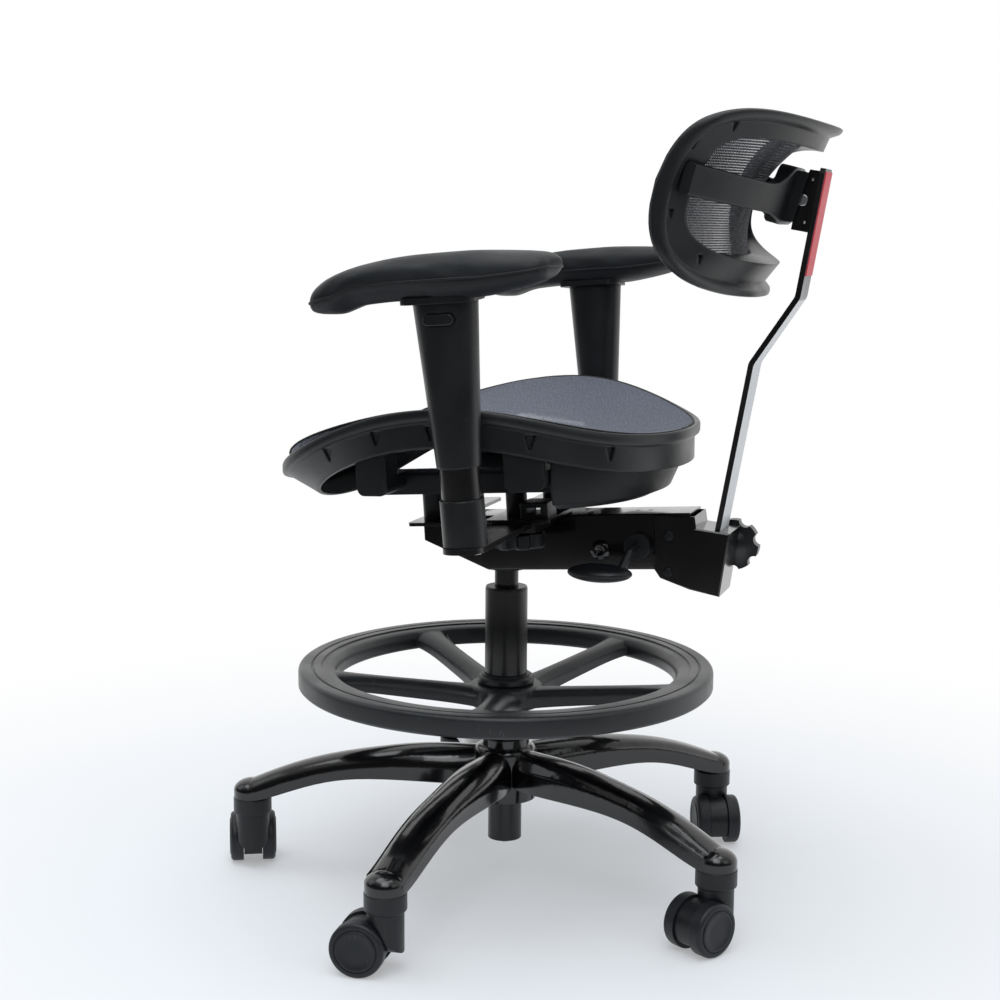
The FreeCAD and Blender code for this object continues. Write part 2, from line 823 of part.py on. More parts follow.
def make_beam():
    body = doc.addObject("PartDesign::Body", "beam_profile")
    beam_rear = "(housing_block_front - soft_gap) / cos(seat_tilt * 1deg)"
    pad(body, "beam_pad", outline_sketch(body, "beam_outline", "YZ_Plane", [
        ("-beam_front", "beam_h"),
        ("-beam_front", "nose_h"),
        ("-nose_back", "0"),
        (beam_rear, "0"),
        (beam_rear, "beam_h"),
    ]), "beam_w")
    doc.recompute()
    pocket(body, "beam_hollow", outline_sketch(body, "hollow_outline", "YZ_Plane", [
        ("beam_wall - beam_front", "beam_h - beam_wall"),
        ("beam_wall - beam_front", "nose_h + beam_wall"),
        ("beam_wall - nose_back", "beam_wall"),
        (beam_rear + " + 1", "beam_wall"),
        (beam_rear + " + 1", "beam_h - beam_wall"),
    ]), "beam_w - 2 * beam_wall")
    doc.recompute()
    holes = pocket(body, "accessory_holes", circle_sketch(body, "accessory_circles", "XY_Plane", [
        ("0", "accessory_hole_y - accessory_pitch / 2", "accessory_hole_d"),
        ("0", "accessory_hole_y + accessory_pitch / 2", "accessory_hole_d"),
    ]), "beam_h + 1", "One side")
    holes.Reversed = True
    doc.recompute()
    long_edges = [
        f"Edge{index}" for index, edge in enumerate(body.Shape.Edges, start=1)
        if edge.Length > dim.housing_block_front - 1 and abs(abs(edge.CenterOfMass.x) - dim.beam_w / 2) < 1e-3
    ]
    rounded = body.newObject("PartDesign::Fillet", "beam_edges")
    rounded.Base = (holes, long_edges)
    rounded.setExpression("Radius", "sizes.beam_edge_r")
    doc.recompute()
    on_seat(body)
    mouth_at = ("0", "0", "beam_bottom - beam_h / 4")
    mouth = cylinder("socket_mouth", "socket_d + 2 * slide_fit", "beam_h / 2", mouth_at)
    node(cut("main_beam", body, mouth), "main_beam")
    socket_top = "beam_bottom + beam_h - beam_wall - 2"
    taper_gain = "(gas_d - taper_top_d) / 2 / (taper_top - taper_start)"
    turned_body("taper_socket", [
        ("gas_d / 2 + pin_fit", "beam_bottom - 2"),
        ("socket_d / 2", "beam_bottom - 2"),
        ("socket_d / 2", socket_top),
        (f"gas_d / 2 + pin_fit - ({socket_top} - taper_start) * {taper_gain}", socket_top),
        ("gas_d / 2 + pin_fit", "taper_start"),
    ])


def plate(name, width, front, rear, lift="0"):
    """A flat plate at a height above the beam."""
    at = (f"0 - {width} / 2", front, f"beam_h + {lift}")
    return box(name, width, f"{rear} - ({front})", "plate_t", at)


def rounded_corners(obj, name, radius):
    """A plate with its four upright corners rounded."""
    doc.recompute()
    corners = [
        (index, radius, radius) for index, edge in enumerate(obj.Shape.Edges, start=1)
        if abs(edge.tangentAt(edge.FirstParameter).z) > 0.9
    ]
    rounded = doc.addObject("Part::Fillet", name)
    rounded.Base = obj
    rounded.Edges = corners
    return rounded


def hex_head(at, across, height):
    """Hexagon bolt head standing on a point."""
    points = [
        at + Rotation(UP, 60 * k).multVec(ACROSS) * across / 2
        for k in range(6)
    ]
    return polygon_face(points).extrude(Vector(0, 0, height))


def dome_head(at, diameter, height, way=UP):
    """Low domed screw head standing on a point."""
    head = Part.makeCylinder(diameter / 2, height, at, way)
    tip = at + way * height
    rim = edges_where(head, lambda edge: edge.Closed and (edge.CenterOfMass - tip).Length < 1e-3)
    return head.makeFillet(height * 0.6, rim)


def cross_top():
    """Height of the cross plate's top above the foot of the beam."""
    return dim.beam_h + dim.cross_plate_lift + dim.plate_t


def post_places():
    """Foot of each post, the front pair on the front plate and the rear pair on the cross plate."""
    feet = ((dim.front_post_y, dim.beam_h + dim.plate_t), (dim.rear_post_y, cross_top()))
    return [Vector(side * dim.post_x, y, z) for side in (-1, 1) for y, z in feet]


def make_plates():
    wings = plate("cross_sheet", "cross_plate_w", "cross_plate_front", "cross_plate_rear", "cross_plate_lift")
    wings = rounded_corners(wings, "cross_wings", 6)
    foot = box("cross_foot", "beam_w", "cross_plate_rear - cross_plate_front", "cross_plate_lift",
               ("0 - beam_w / 2", "cross_plate_front", "beam_h"))
    node(on_seat(fuse("cross_plate", wings, foot)), "cross_plate")
    front = plate("front_sheet", "front_plate_w", "front_plate_front", "front_plate_rear")
    node(on_seat(rounded_corners(front, "front_plate", 6)), "front_plate")
    posts = []
    for at in post_places():
        posts.append(Part.makeCylinder(dim.post_d / 2, dim.tray_bottom - at.z, at))
    group("seat_posts", posts, SEAT)
    boxes = []
    for side in (-1, 1):
        middle = Vector(side * dim.clamp_box_x, dim.clamp_box_front, cross_top())
        shell = block(middle - ACROSS * dim.clamp_box_w / 2,
                      middle + Vector(dim.clamp_box_w / 2, dim.clamp_box_l, dim.clamp_box_h))
        shell = shell.makeFillet(2, edges_where(shell, lambda edge: edge.CenterOfMass.z > middle.z + 1))
        slot_at = middle + Vector(-dim.clamp_box_w, dim.clamp_slot_front, dim.clamp_slot_low)
        slot = block(slot_at, slot_at + Vector(2 * dim.clamp_box_w, dim.clamp_slot_l, dim.clamp_slot_h))
        boxes.append(shell.cut(slot))
    group("clamp_boxes", boxes, SEAT)
    bolts = []
    for at in post_places():
        top = Vector(at.x, at.y, dim.tray_bottom + dim.tray_t)
        bolts.append(hex_head(top, dim.bolt_head_d, dim.bolt_head_h))
    rows = ((dim.cross_plate_rear, cross_top()), (dim.front_plate_rear, dim.beam_h + dim.plate_t))
    for side in (-1, 1):
        for rear, z in rows:
            at = Vector(side * dim.beam_w / 4, rear - dim.bolt_head_d, z)
            bolts.append(hex_head(at, dim.bolt_head_d, dim.bolt_head_h))
    group("seat_bolts", bolts, SEAT)


# Rear housing and back bar


def bar_front_y(z):
    """Y of the bar's front face at a height."""
    risen = min(z, dim.bar_bend_low_z) - dim.bar_mouth_z
    low = dim.bar_mouth_y + risen * math.tan(math.radians(dim.bar_lean))
    middle = max(0, min(z, dim.bar_bend_high_z) - dim.bar_bend_low_z) * math.tan(math.radians(dim.bar_kink))
    high = max(0, z - dim.bar_bend_high_z) * math.tan(math.radians(dim.bar_top_lean))
    return low + middle + high


def bar_profile(z_low, z_high, front, back):
    """Side outline of a layer of the bar between two depths behind its front face."""
    leans = {
        dim.bar_bend_low_z: (dim.bar_lean, dim.bar_kink),
        dim.bar_bend_high_z: (dim.bar_kink, dim.bar_top_lean),
    }
    heights = [z_low] + [z for z in leans if z_low < z < z_high] + [z_high]

    def shifted(z, depth):
        point = Vector(0, bar_front_y(z), z)
        if z in leans:
            first, second = leans[z]
        elif z <= dim.bar_bend_low_z:
            first = second = dim.bar_lean
        else:
            first = second = dim.bar_top_lean
        middle = math.radians((first + second) / 2)
        spread = math.cos(math.radians((second - first) / 2))
        return point + Vector(0, math.cos(middle), -math.sin(middle)) * (depth / spread)

    return [shifted(z, front) for z in heights] + [shifted(z, back) for z in reversed(heights)]


def make_housing():
    body = doc.addObject("PartDesign::Body", "housing_profile")
    shelf = "housing_top + housing_shelf_rise"
    bracket = pad(body, "housing_pad", outline_sketch(body, "housing_outline", "YZ_Plane", [
        ("housing_front", shelf),
        ("housing_front", "housing_bottom + housing_cheek_rise"),
        ("housing_front + housing_chin_in", "housing_bottom + housing_chin_rise"),
        ("housing_front + housing_belly_in", "housing_bottom + housing_belly_rise"),
        ("housing_rear - housing_heel_in", "housing_bottom"),
        ("housing_rear", "housing_top - housing_top_drop"),
        ("housing_block_front + housing_lip_in", "housing_top"),
        ("housing_block_front + housing_lip_in / 3", shelf),
    ]), "housing_w")
    doc.recompute()
    side_edges = [
        f"Edge{index}" for index, edge in enumerate(body.Shape.Edges, start=1)
        if abs(abs(edge.CenterOfMass.x) - dim.housing_w / 2) < 1e-3
    ]
    softened = body.newObject("PartDesign::Chamfer", "housing_edges")
    softened.Base = (bracket, side_edges)
    softened.setExpression("Size", "sizes.housing_edge")
    doc.recompute()
    pocket(body, "beam_room", outline_sketch(body, "room_outline", "YZ_Plane", [
        ("housing_front - 1", "housing_bottom - 1"),
        ("housing_block_front", "housing_bottom - 1"),
        ("housing_block_front", shelf + " + beam_h"),
        ("housing_front - 1", shelf + " + beam_h"),
    ]), "beam_w")
    doc.recompute()
    slot_low, slot_high = dim.housing_bottom - dim.bar_w, dim.housing_top + dim.bar_w
    slot = polygon_face(bar_profile(slot_low, slot_high, -dim.slide_fit, dim.bar_t + dim.slide_fit))
    half = dim.bar_w / 2 + dim.slide_fit
    slot.translate(ACROSS * -half)
    holes = [slot.extrude(ACROSS * 2 * half)]
    wall_x = dim.housing_w / 2
    for side in (-1, 1):
        for z in (dim.rivet_high_z, dim.rivet_low_z):
            rivet_at = Vector(side * dim.beam_w / 2, dim.rivet_y, z)
            holes.append(rod(dim.rivet_shank_d + 2 * dim.pin_fit, rivet_at,
                             Vector(side * wall_x, dim.rivet_y, z)))
    knob_at = back_knob_place()
    holes.append(rod(dim.stud_d + 2 * dim.pin_fit, Vector(-wall_x, knob_at.y, knob_at.z), knob_at))
    openings = doc.addObject("Part::Feature", "housing_openings")
    openings.Shape = Part.makeCompound(holes)
    node(cut("back_housing", body, openings), "back_housing")
    rivets = []
    for side in (-1, 1):
        for z in (dim.rivet_high_z, dim.rivet_low_z):
            face = Vector(side * wall_x, dim.rivet_y, z)
            shank = rod(dim.rivet_shank_d, Vector(side * dim.beam_w / 2, dim.rivet_y, z), face)
            rivets.append(shank.fuse(dome_head(face, dim.rivet_d, dim.rivet_head_h, ACROSS * side)))
    group("housing_rivets", rivets)


def back_knob_place():
    """Centre of the back knob's stud, behind the bar."""
    z = dim.back_knob_z
    return Vector(0, bar_front_y(z) + dim.bar_t + dim.back_knob_behind, z)


def make_back_bar():
    bar = polygon_face(bar_profile(dim.bar_foot_z, dim.bar_top_z, 0, dim.bar_t))
    bar.translate(ACROSS * -dim.bar_w / 2)
    bar = bar.extrude(ACROSS * dim.bar_w)
    bends = edges_where(bar, lambda edge: abs(edge.Length - dim.bar_w) < 1e-3
                        and dim.bar_foot_z + 20 < edge.CenterOfMass.z < dim.bar_top_z - 20)
    bar = bar.makeFillet(dim.bar_bend_r, bends)
    corners = edges_where(bar, lambda edge: edge.Length < dim.bar_t + 1
                          and edge.CenterOfMass.z > dim.bar_top_z - 5 and abs(edge.CenterOfMass.x) > 1)
    bar = bar.makeFillet(dim.bar_t, corners)
    feature("back_bar", bar)
    strip = polygon_face(bar_profile(dim.strip_bottom_z, dim.bar_top_z - dim.strip_margin, dim.bar_t,
                                     dim.bar_t + dim.strip_t))
    half = dim.bar_w / 2 - dim.strip_margin
    strip.translate(ACROSS * -half)
    feature("bar_strip", strip.extrude(ACROSS * 2 * half))


# Knobs and lever


def knob_shape():
    """Lobed clamp knob with its stud, turned about Z, with its seat face at the origin and its grip below."""
    grip = Part.makeCylinder(dim.knob_d / 2, dim.knob_h * 0.8, Vector(0, 0, -dim.knob_h))
    scoops = []
    for lobe in range(int(dim.knob_lobes)):
        angle = math.radians(360 * lobe / dim.knob_lobes)
        at = Vector(math.cos(angle), math.sin(angle), 0) * (dim.knob_d / 2 + dim.knob_lobe_d * 0.15)
        scoops.append(Part.makeCylinder(dim.knob_lobe_d / 2, dim.knob_h, at - UP * dim.knob_h))
    grip = grip.cut(scoops)
    low = edges_where(grip, lambda edge: edge.BoundBox.ZMax < -dim.knob_h + 1e-3)
    grip = grip.makeFillet(2, low)
    neck_h = dim.knob_h * 0.2
    return grip.fuse(Part.makeCone(dim.knob_d * 0.3, dim.stud_d, neck_h, Vector(0, 0, -neck_h)))


def make_knobs():
    knob = knob_shape()
    stud_in = dim.housing_w / 2 - dim.soft_gap
    back = knob.fuse(rod(dim.stud_d, Vector(0, 0, -1), Vector(0, 0, stud_in)))
    place = back_knob_place() - ACROSS * dim.housing_w / 2
    feature("back_clamp_knob", back, Placement(place, Rotation(UP, ACROSS)))
    seat_z = arm_bar_top() - dim.arm_bar_t - dim.guide_floor
    arm = knob.fuse(rod(dim.stud_d, Vector(0, 0, -1), Vector(0, 0, dim.guide_floor - dim.slide_fit)))
    for side, name in ((1, "left"), (-1, "right")):
        at = Placement(Vector(side * dim.arm_knob_x, dim.arm_y, seat_z), Rotation())
        feature("arm_clamp_knob_" + name, arm, SEAT.multiply(at))


def make_lever():
    """Height lever: a boss on the beam's left side, a bent stalk and a flat oval paddle."""
    pivot = Vector(dim.beam_w / 2 + dim.soft_gap, dim.lever_y, dim.lever_z)
    elbow = pivot + ACROSS * (dim.lever_reach - dim.paddle_w / 2 - dim.beam_w / 2)
    paddle_at = Vector(dim.lever_reach, dim.paddle_y, dim.paddle_z)
    stalk_end = paddle_at + ALONG * dim.paddle_l * 0.3
    stalk = rod(dim.lever_rod_d, pivot, elbow).fuse(Part.makeSphere(dim.lever_rod_d / 2, elbow))
    stalk = stalk.fuse(rod(dim.lever_rod_d, elbow, stalk_end))
    boss = rod(dim.lever_boss_d, pivot, pivot + ACROSS * dim.lever_boss_l)
    ball = Part.makeSphere(1)
    stretch = FreeCAD.Matrix()
    stretch.scale(dim.paddle_w / 2, dim.paddle_l / 2, dim.paddle_t / 2)
    paddle = ball.transformGeometry(stretch)
    paddle.Placement = Placement(paddle_at, Rotation())
    feature("height_lever", stalk.fuse([boss, paddle]))


# Seat


def lagrange(stations, values, at):
    """Value of the polynomial through the stations."""
    total = 0.0
    for i, value in enumerate(values):
        weight = 1.0
        for j, station in enumerate(stations):
            if j != i:
                weight *= (at - station) / (stations[i] - station)
        total += value * weight
    return total


def seat_height(x, y):
    """Height of the seat surface: a centre line from front to rear, raised towards both sides."""
    stations = (-dim.seat_front, -dim.seat_front / 2, 0, dim.seat_rear / 2, dim.seat_rear)
    heights = (dim.seat_front_z, dim.seat_knee_z, dim.seat_middle_z, dim.seat_hollow_z, dim.seat_rear_z)
    return lagrange(stations, heights, y) + dim.seat_side_rise * (x / dim.seat_half_w) ** 2


def power(value, exponent):
    return math.copysign(abs(value) ** exponent, value)


def seat_outline(inset, tuck=0.0, count=48):
    """Plan of the seat, square in front and round behind, drawn in by an inset and a front tuck."""
    points = []
    for step in range(count):
        angle = 2 * math.pi * step / count
        front = math.sin(angle) < 0
        exponent = 2 / (dim.seat_front_power if front else dim.seat_rear_power)
        reach = dim.seat_front + dim.seat_widest_y - tuck if front else dim.seat_rear - dim.seat_widest_y
        x = (dim.seat_half_w - inset) * power(math.cos(angle), exponent)
        points.append(Vector(x, dim.seat_widest_y + (reach - inset) * power(math.sin(angle), exponent), 0))
    return points


def closed_edge(points):
    """Smooth closed curve through points."""
    curve = Part.BSplineCurve()
    curve.interpolate(points, PeriodicFlag=True)
    return curve.toShape()


def ring_solid(loops):
    """Closed ring whose section has one corner on each loop."""
    wires = [Part.Wire(closed_edge(loop)) for loop in loops]
    return Part.makeSolid(Part.makeLoft(wires, False, True, True))


def below_seat(inset, drop, tuck=0.0):
    """Loop at a depth below the seat surface."""
    return [Vector(p.x, p.y, seat_height(p.x, p.y) - drop) for p in seat_outline(inset, tuck)]


def above_beam(inset, height):
    """Level loop at a height above the foot of the beam."""
    return [Vector(p.x, p.y, dim.beam_bottom + height) for p in seat_outline(inset)]


def disc_patch(outline_at, height_at, count):
    """Smooth surface over a rounded outline, from a square grid drawn out to its rim."""
    rows = []
    for i in range(count):
        u = -1 + 2 * i / (count - 1)
        row = []
        for j in range(count):
            v = -1 + 2 * j / (count - 1)
            x, y = u * math.sqrt(1 - v * v / 2), v * math.sqrt(1 - u * u / 2)
            row.append(height_at(outline_at(math.atan2(y, x)) * math.hypot(x, y)))
        rows.append(row)
    surface = Part.BSplineSurface()
    surface.interpolate(rows)
    return surface.toShape()


def seat_rim(angle):
    """Rim point of the mesh, measured from the middle of the seat."""
    front = math.sin(angle) < 0
    exponent = 2 / (dim.seat_front_power if front else dim.seat_rear_power)
    reach = dim.seat_front + dim.seat_widest_y if front else dim.seat_rear - dim.seat_widest_y
    inset = dim.seat_mesh_inset
    return Vector((dim.seat_half_w - inset) * power(math.cos(angle), exponent),
                  (reach - inset) * power(math.sin(angle), exponent), 0)


def on_seat_surface(point):
    y = point.y + dim.seat_widest_y
    return Vector(point.x, y, seat_height(point.x, y) + dim.soft_gap)


def make_seat():
    lip_t, lip_r, inset = dim.lip_t, dim.lip_round, dim.skirt_inset
    inner = inset + dim.skirt_t
    feature("seat_frame", ring_solid([
        below_seat(lip_r, 0),
        below_seat(lip_r * 0.3, lip_r * 0.3),
        below_seat(0, lip_r),
        below_seat(0, lip_t - lip_r),
        below_seat(lip_r * 0.3, lip_t - lip_r * 0.3),
        below_seat(lip_r, lip_t),
        below_seat(inset, lip_t),
        below_seat(inset, dim.skirt_depth, dim.skirt_tuck),
        below_seat(inner, dim.skirt_depth, dim.skirt_tuck),
        below_seat(inner, lip_t),
        below_seat(dim.lip_w, lip_t),
        below_seat(dim.lip_w, 0),
    ]))
    feature("seat_mesh", disc_patch(seat_rim, on_seat_surface, 15).extrude(UP * dim.mesh_t))
    make_bucket(inner + dim.soft_gap)
    make_carrier(inner + dim.lug_gap)


def make_bucket(ledge_inset):
    """Rear shell: a ledge under the lip, a wall that rounds in and a floor with two bosses for the tray."""
    wall, inset, low = dim.bucket_t, dim.bucket_inset, dim.bucket_floor
    ledge = dim.lip_t + dim.soft_gap
    waist = low + dim.bucket_round_h
    drawn = dim.bucket_round
    shell = ring_solid([
        below_seat(ledge_inset, ledge),
        below_seat(ledge_inset, ledge + wall),
        below_seat(inset, ledge + wall),
        above_beam(inset, waist),
        above_beam(inset + drawn * 0.3, low + dim.bucket_round_h * 0.3),
        above_beam(inset + drawn, low),
        above_beam(inset + drawn, low + wall),
        above_beam(inset + wall + drawn * 0.3, low + wall + dim.bucket_round_h * 0.3),
        above_beam(inset + wall, waist),
        below_seat(inset + wall, ledge),
    ])
    rim = Part.Wire(closed_edge(above_beam(inset + drawn - 1, low)))
    floor = Part.Face(rim).extrude(UP * wall)
    rear = block(Vector(-dim.seat_half_w, dim.bucket_front, 0),
                 Vector(dim.seat_half_w, 2 * dim.seat_rear, 2 * dim.seat_rear_z))
    bosses = []
    for side in (-1, 1):
        sunk = SEAT.inverse().multVec(Vector(0, dim.boss_y, dim.beam_bottom + low + wall / 2)).z
        foot = Vector(side * dim.boss_x, dim.boss_y, sunk)
        boss = Part.makeCylinder(dim.boss_d / 2, dim.tray_bottom - sunk, foot)
        boss.Placement = SEAT
        bosses.append(boss)
    feature("seat_bucket", shell.fuse(floor).common(rear).fuse(bosses))


def rail_rear():
    """Rear end of the rails, just ahead of the bucket, measured along the tilted beam."""
    tilt = math.radians(dim.seat_tilt)
    return (dim.bucket_front - dim.soft_gap + dim.tray_bottom * math.sin(tilt)) / math.cos(tilt)


def lug_top(x, y):
    """Height of a lug's top above the foot of the beam, just under the lip of the seat frame."""
    under = SEAT.multVec(Vector(x, y, dim.tray_bottom + dim.rail_h))
    under.z = seat_height(x, under.y) - dim.lip_t - dim.lug_gap
    return SEAT.inverse().multVec(under).z


def lug(low, high):
    """Block with its lower long corners rounded."""
    shape = block(low, high)
    corners = edges_where(shape, lambda edge: abs(edge.tangentAt(0).x) > 0.9
                          and edge.CenterOfMass.z < low.z + 1)
    return shape.makeFillet(dim.lug_corner_r, corners)


def make_carrier(inside):
    """Tray with a rail along each side and four lugs that reach out to the skirt."""
    base = dim.tray_bottom
    half = dim.tray_half_w
    tray = block(Vector(-half, dim.tray_front, base), Vector(half, dim.tray_rear, base + dim.tray_t))
    rear_corners = edges_where(tray, lambda edge: abs(edge.tangentAt(0).z) > 0.9
                               and edge.CenterOfMass.y > dim.tray_rear - 1)
    tray = tray.makeFillet(dim.tray_corner_r, rear_corners)
    parts = []
    rail_top = base + dim.rail_h
    low = rail_top - dim.lug_h
    for side in (-1, 1):
        near, far = sorted((side * (half - dim.tray_t), side * (half + dim.rail_w)))
        rail = block(Vector(near, dim.lug_front, base), Vector(far, rail_rear(), rail_top))
        upper = edges_where(rail, lambda edge: abs(edge.tangentAt(0).y) > 0.9
                            and edge.CenterOfMass.z > base + 1)
        parts.append(rail.makeFillet(dim.rail_w * 0.3, upper))
        for y in (dim.lug_front, rail_rear() - dim.lug_l):
            near, far = sorted((side * half, side * dim.seat_half_w))
            parts.append(lug(Vector(near, y, low), Vector(far, y + dim.lug_l, rail_top)))
            near, far = sorted((side * dim.lug_upright_x, side * dim.seat_half_w))
            top = min(lug_top(dim.lug_upright_x, y + dim.lug_l * share) for share in (0, 0.25, 0.5, 0.75, 1))
            parts.append(lug(Vector(near, y, low), Vector(far, y + dim.lug_l, top)))
    carrier = tray.fuse(parts)
    carrier.Placement = SEAT
    outline = seat_outline(inside, dim.skirt_tuck)
    bound = Part.Face(Part.Wire(closed_edge(outline))).extrude(UP * 2 * dim.seat_middle_z)
    feature("seat_carrier", carrier.common(bound).removeSplitter())


# Arms


def arm_bar_top():
    """Height of the arm bars' top, just under the wings of the cross plate."""
    return dim.beam_h + dim.cross_plate_lift - dim.slide_fit


def arm_foot_x():
    """Distance of an arm's upright from the middle, clear of the seat."""
    return dim.seat_half_w + dim.arm_clear


def arm_place(side):
    """Frame of an arm's upright, leaning outwards from the top of its bar."""
    foot = Placement(Vector(side * arm_foot_x(), dim.arm_y, arm_bar_top()),
                     Rotation(ALONG, side * dim.arm_lean))
    return SEAT.multiply(foot)


def ellipse_wire(centre, across, along):
    """Ellipse in a level plane."""
    if across >= along:
        curve = Part.Ellipse(centre + ACROSS * across / 2, centre + ALONG * along / 2, centre)
    else:
        curve = Part.Ellipse(centre + ALONG * along / 2, centre - ACROSS * across / 2, centre)
    return Part.Wire(curve.toShape())


def sleeve_shape():
    low = ellipse_wire(Vector(0, 0, dim.sleeve_bottom), dim.sleeve_low_d, dim.sleeve_low_d + 0.01)
    high = ellipse_wire(Vector(0, 0, dim.sleeve_top), dim.sleeve_high_w, dim.sleeve_high_l)
    sleeve = Part.makeLoft([low, high], True)
    bore_h = dim.sleeve_bore_top - dim.sleeve_bottom
    bore = Part.makeCylinder(dim.arm_tube_d / 2 + dim.slide_fit, bore_h, Vector(0, 0, dim.sleeve_bottom))
    return sleeve.cut([bore, button_block(dim.soft_gap, dim.button_depth + dim.soft_gap + 3)])


def button_block(margin, depth):
    """Rounded button body on the outer side of the sleeve, grown by a margin and reaching in to a depth."""
    face_x = dim.sleeve_high_w / 2
    half_l, half_h = dim.button_l / 2 + margin, dim.button_h / 2 + margin
    shape = block(Vector(face_x - depth, -half_l, dim.button_z - half_h),
                  Vector(face_x + dim.button_proud, half_l, dim.button_z + half_h))
    ends = edges_where(shape, lambda edge: abs(edge.tangentAt(0).x) > 0.9)
    return shape.makeFillet(half_h * 0.95, ends)


def pad_section(y, half, bottom, top):
    """Section across an arm pad: flat base, bulged sides and a crowned top."""
    waist = bottom + (top - bottom) * 0.45
    shoulder = bottom + (top - bottom) * 0.78
    inner = half * 0.86
    points = {
        "base_l": Vector(-inner, y, bottom), "base_r": Vector(inner, y, bottom),
        "side_l": Vector(-half, y, waist), "side_r": Vector(half, y, waist),
        "top_l": Vector(-inner, y, shoulder), "top_r": Vector(inner, y, shoulder), "crown": Vector(0, y, top),
    }
    edges = [
        Part.LineSegment(points["base_l"], points["base_r"]).toShape(),
        Part.Arc(points["base_r"], points["side_r"], points["top_r"]).toShape(),
        Part.Arc(points["top_r"], points["crown"], points["top_l"]).toShape(),
        Part.Arc(points["top_l"], points["side_l"], points["base_l"]).toShape(),
    ]
    return Part.Wire(edges)


def pad_shape():
    """Arm pad that droops at its front end and thins to its rear end."""
    bottom = dim.sleeve_top + dim.pad_bracket_t + dim.soft_gap
    front, rear, half, height = dim.pad_front, dim.pad_rear, dim.pad_w / 2, dim.pad_h
    stations = [
        (-front, half * 0.50, bottom - 0.34 * height, bottom + 0.16 * height),
        (-front * 0.97, half * 0.70, bottom - 0.40 * height, bottom + 0.38 * height),
        (-front * 0.82, half * 0.90, bottom - 0.30 * height, bottom + 0.68 * height),
        (-front * 0.60, half, bottom - 0.02 * height, bottom + 0.86 * height),
        (-front * 0.30, half, bottom, bottom + 0.98 * height),
        (rear * 0.45, half, bottom, bottom + 1.0 * height),
        (rear * 0.82, half * 0.97, bottom + 0.14 * height, bottom + 1.0 * height),
        (rear * 0.96, half * 0.86, bottom + 0.32 * height, bottom + 0.96 * height),
        (rear, half * 0.66, bottom + 0.42 * height, bottom + 0.86 * height),
    ]
    return Part.makeLoft([pad_section(*station) for station in stations], True)


def make_arm(side, name):
    place = arm_place(side)
    bar_top = arm_bar_top()
    tip_x = arm_foot_x() + dim.arm_bar_over
    inner, outer = sorted((side * dim.arm_bar_inner, side * tip_x))
    half = dim.arm_bar_w / 2
    bar = block(Vector(inner, dim.arm_y - half, bar_top - dim.arm_bar_t),
                Vector(outer, dim.arm_y + half, bar_top))
    tip = edges_where(bar, lambda edge: abs(edge.tangentAt(0).z) > 0.9
                      and abs(abs(edge.CenterOfMass.x) - tip_x) < 1e-3)
    feature("arm_bar_" + name, bar.makeFillet(half * 0.9, tip), SEAT)

    floor = dim.arm_socket_floor
    deep = dim.arm_socket_d
    socket = Part.makeCylinder(deep / 2, dim.arm_socket_h + deep, Vector(0, 0, -deep))
    rim = edges_where(socket, lambda edge: edge.BoundBox.ZMin > dim.arm_socket_h - 1e-3)
    socket = socket.makeFillet(dim.arm_socket_round, rim)
    seat_r = dim.arm_tube_d / 2 + dim.pin_fit
    socket = socket.cut(Part.makeCylinder(seat_r, dim.arm_socket_h, Vector(0, 0, floor)))
    below = block(Vector(-2 * deep, -2 * deep, -2 * deep), Vector(2 * deep, 2 * deep, 0))
    below.rotate(Vector(), ALONG, -side * dim.arm_lean)
    feature("arm_socket_" + name, socket.cut(below), place)

    tube = Part.makeCylinder(dim.arm_tube_d / 2, dim.arm_tube_top - floor, Vector(0, 0, floor))
    bore_at = Vector(0, 0, floor + dim.arm_tube_floor)
    bore = Part.makeCylinder(dim.arm_tube_d / 2 - dim.arm_tube_wall, dim.arm_tube_top, bore_at)
    feature("arm_tube_" + name, tube.cut(bore), place)

    screws = []
    for offset in (-dim.arm_screw_pitch / 2, dim.arm_screw_pitch / 2):
        at = Vector(side * arm_foot_x(), dim.arm_y + offset, bar_top - dim.arm_bar_t)
        screws.append(dome_head(at, dim.screw_head_d, dim.screw_head_h, Vector(0, 0, -1)))
    group("arm_screws_" + name, screws, SEAT)

    mirrored = Placement() if side > 0 else Placement(Vector(), Rotation(UP, 180))
    outward = place.multiply(mirrored)
    sleeve = sleeve_shape()
    button = button_block(0, dim.button_depth)
    face_x = dim.sleeve_high_w / 2 + dim.button_proud
    skin = edges_where(button, lambda edge: edge.CenterOfMass.x > face_x - 1e-3)
    feature("arm_sleeve_" + name, sleeve, outward)
    feature("arm_button_" + name, button.makeFillet(1.2, skin), outward)
    top = dim.sleeve_top
    wide = dim.pad_bracket_w / 2
    bracket = block(Vector(-wide, -dim.pad_bracket_front, top),
                    Vector(wide, dim.pad_bracket_rear, top + dim.pad_bracket_t))
    corners = edges_where(bracket, lambda edge: abs(edge.tangentAt(0).z) > 0.9)
    bracket = bracket.makeFillet(wide * 0.5, corners)
    feature("pad_bracket_" + name, bracket, place)
    feature("arm_pad_" + name, pad_shape(), place)


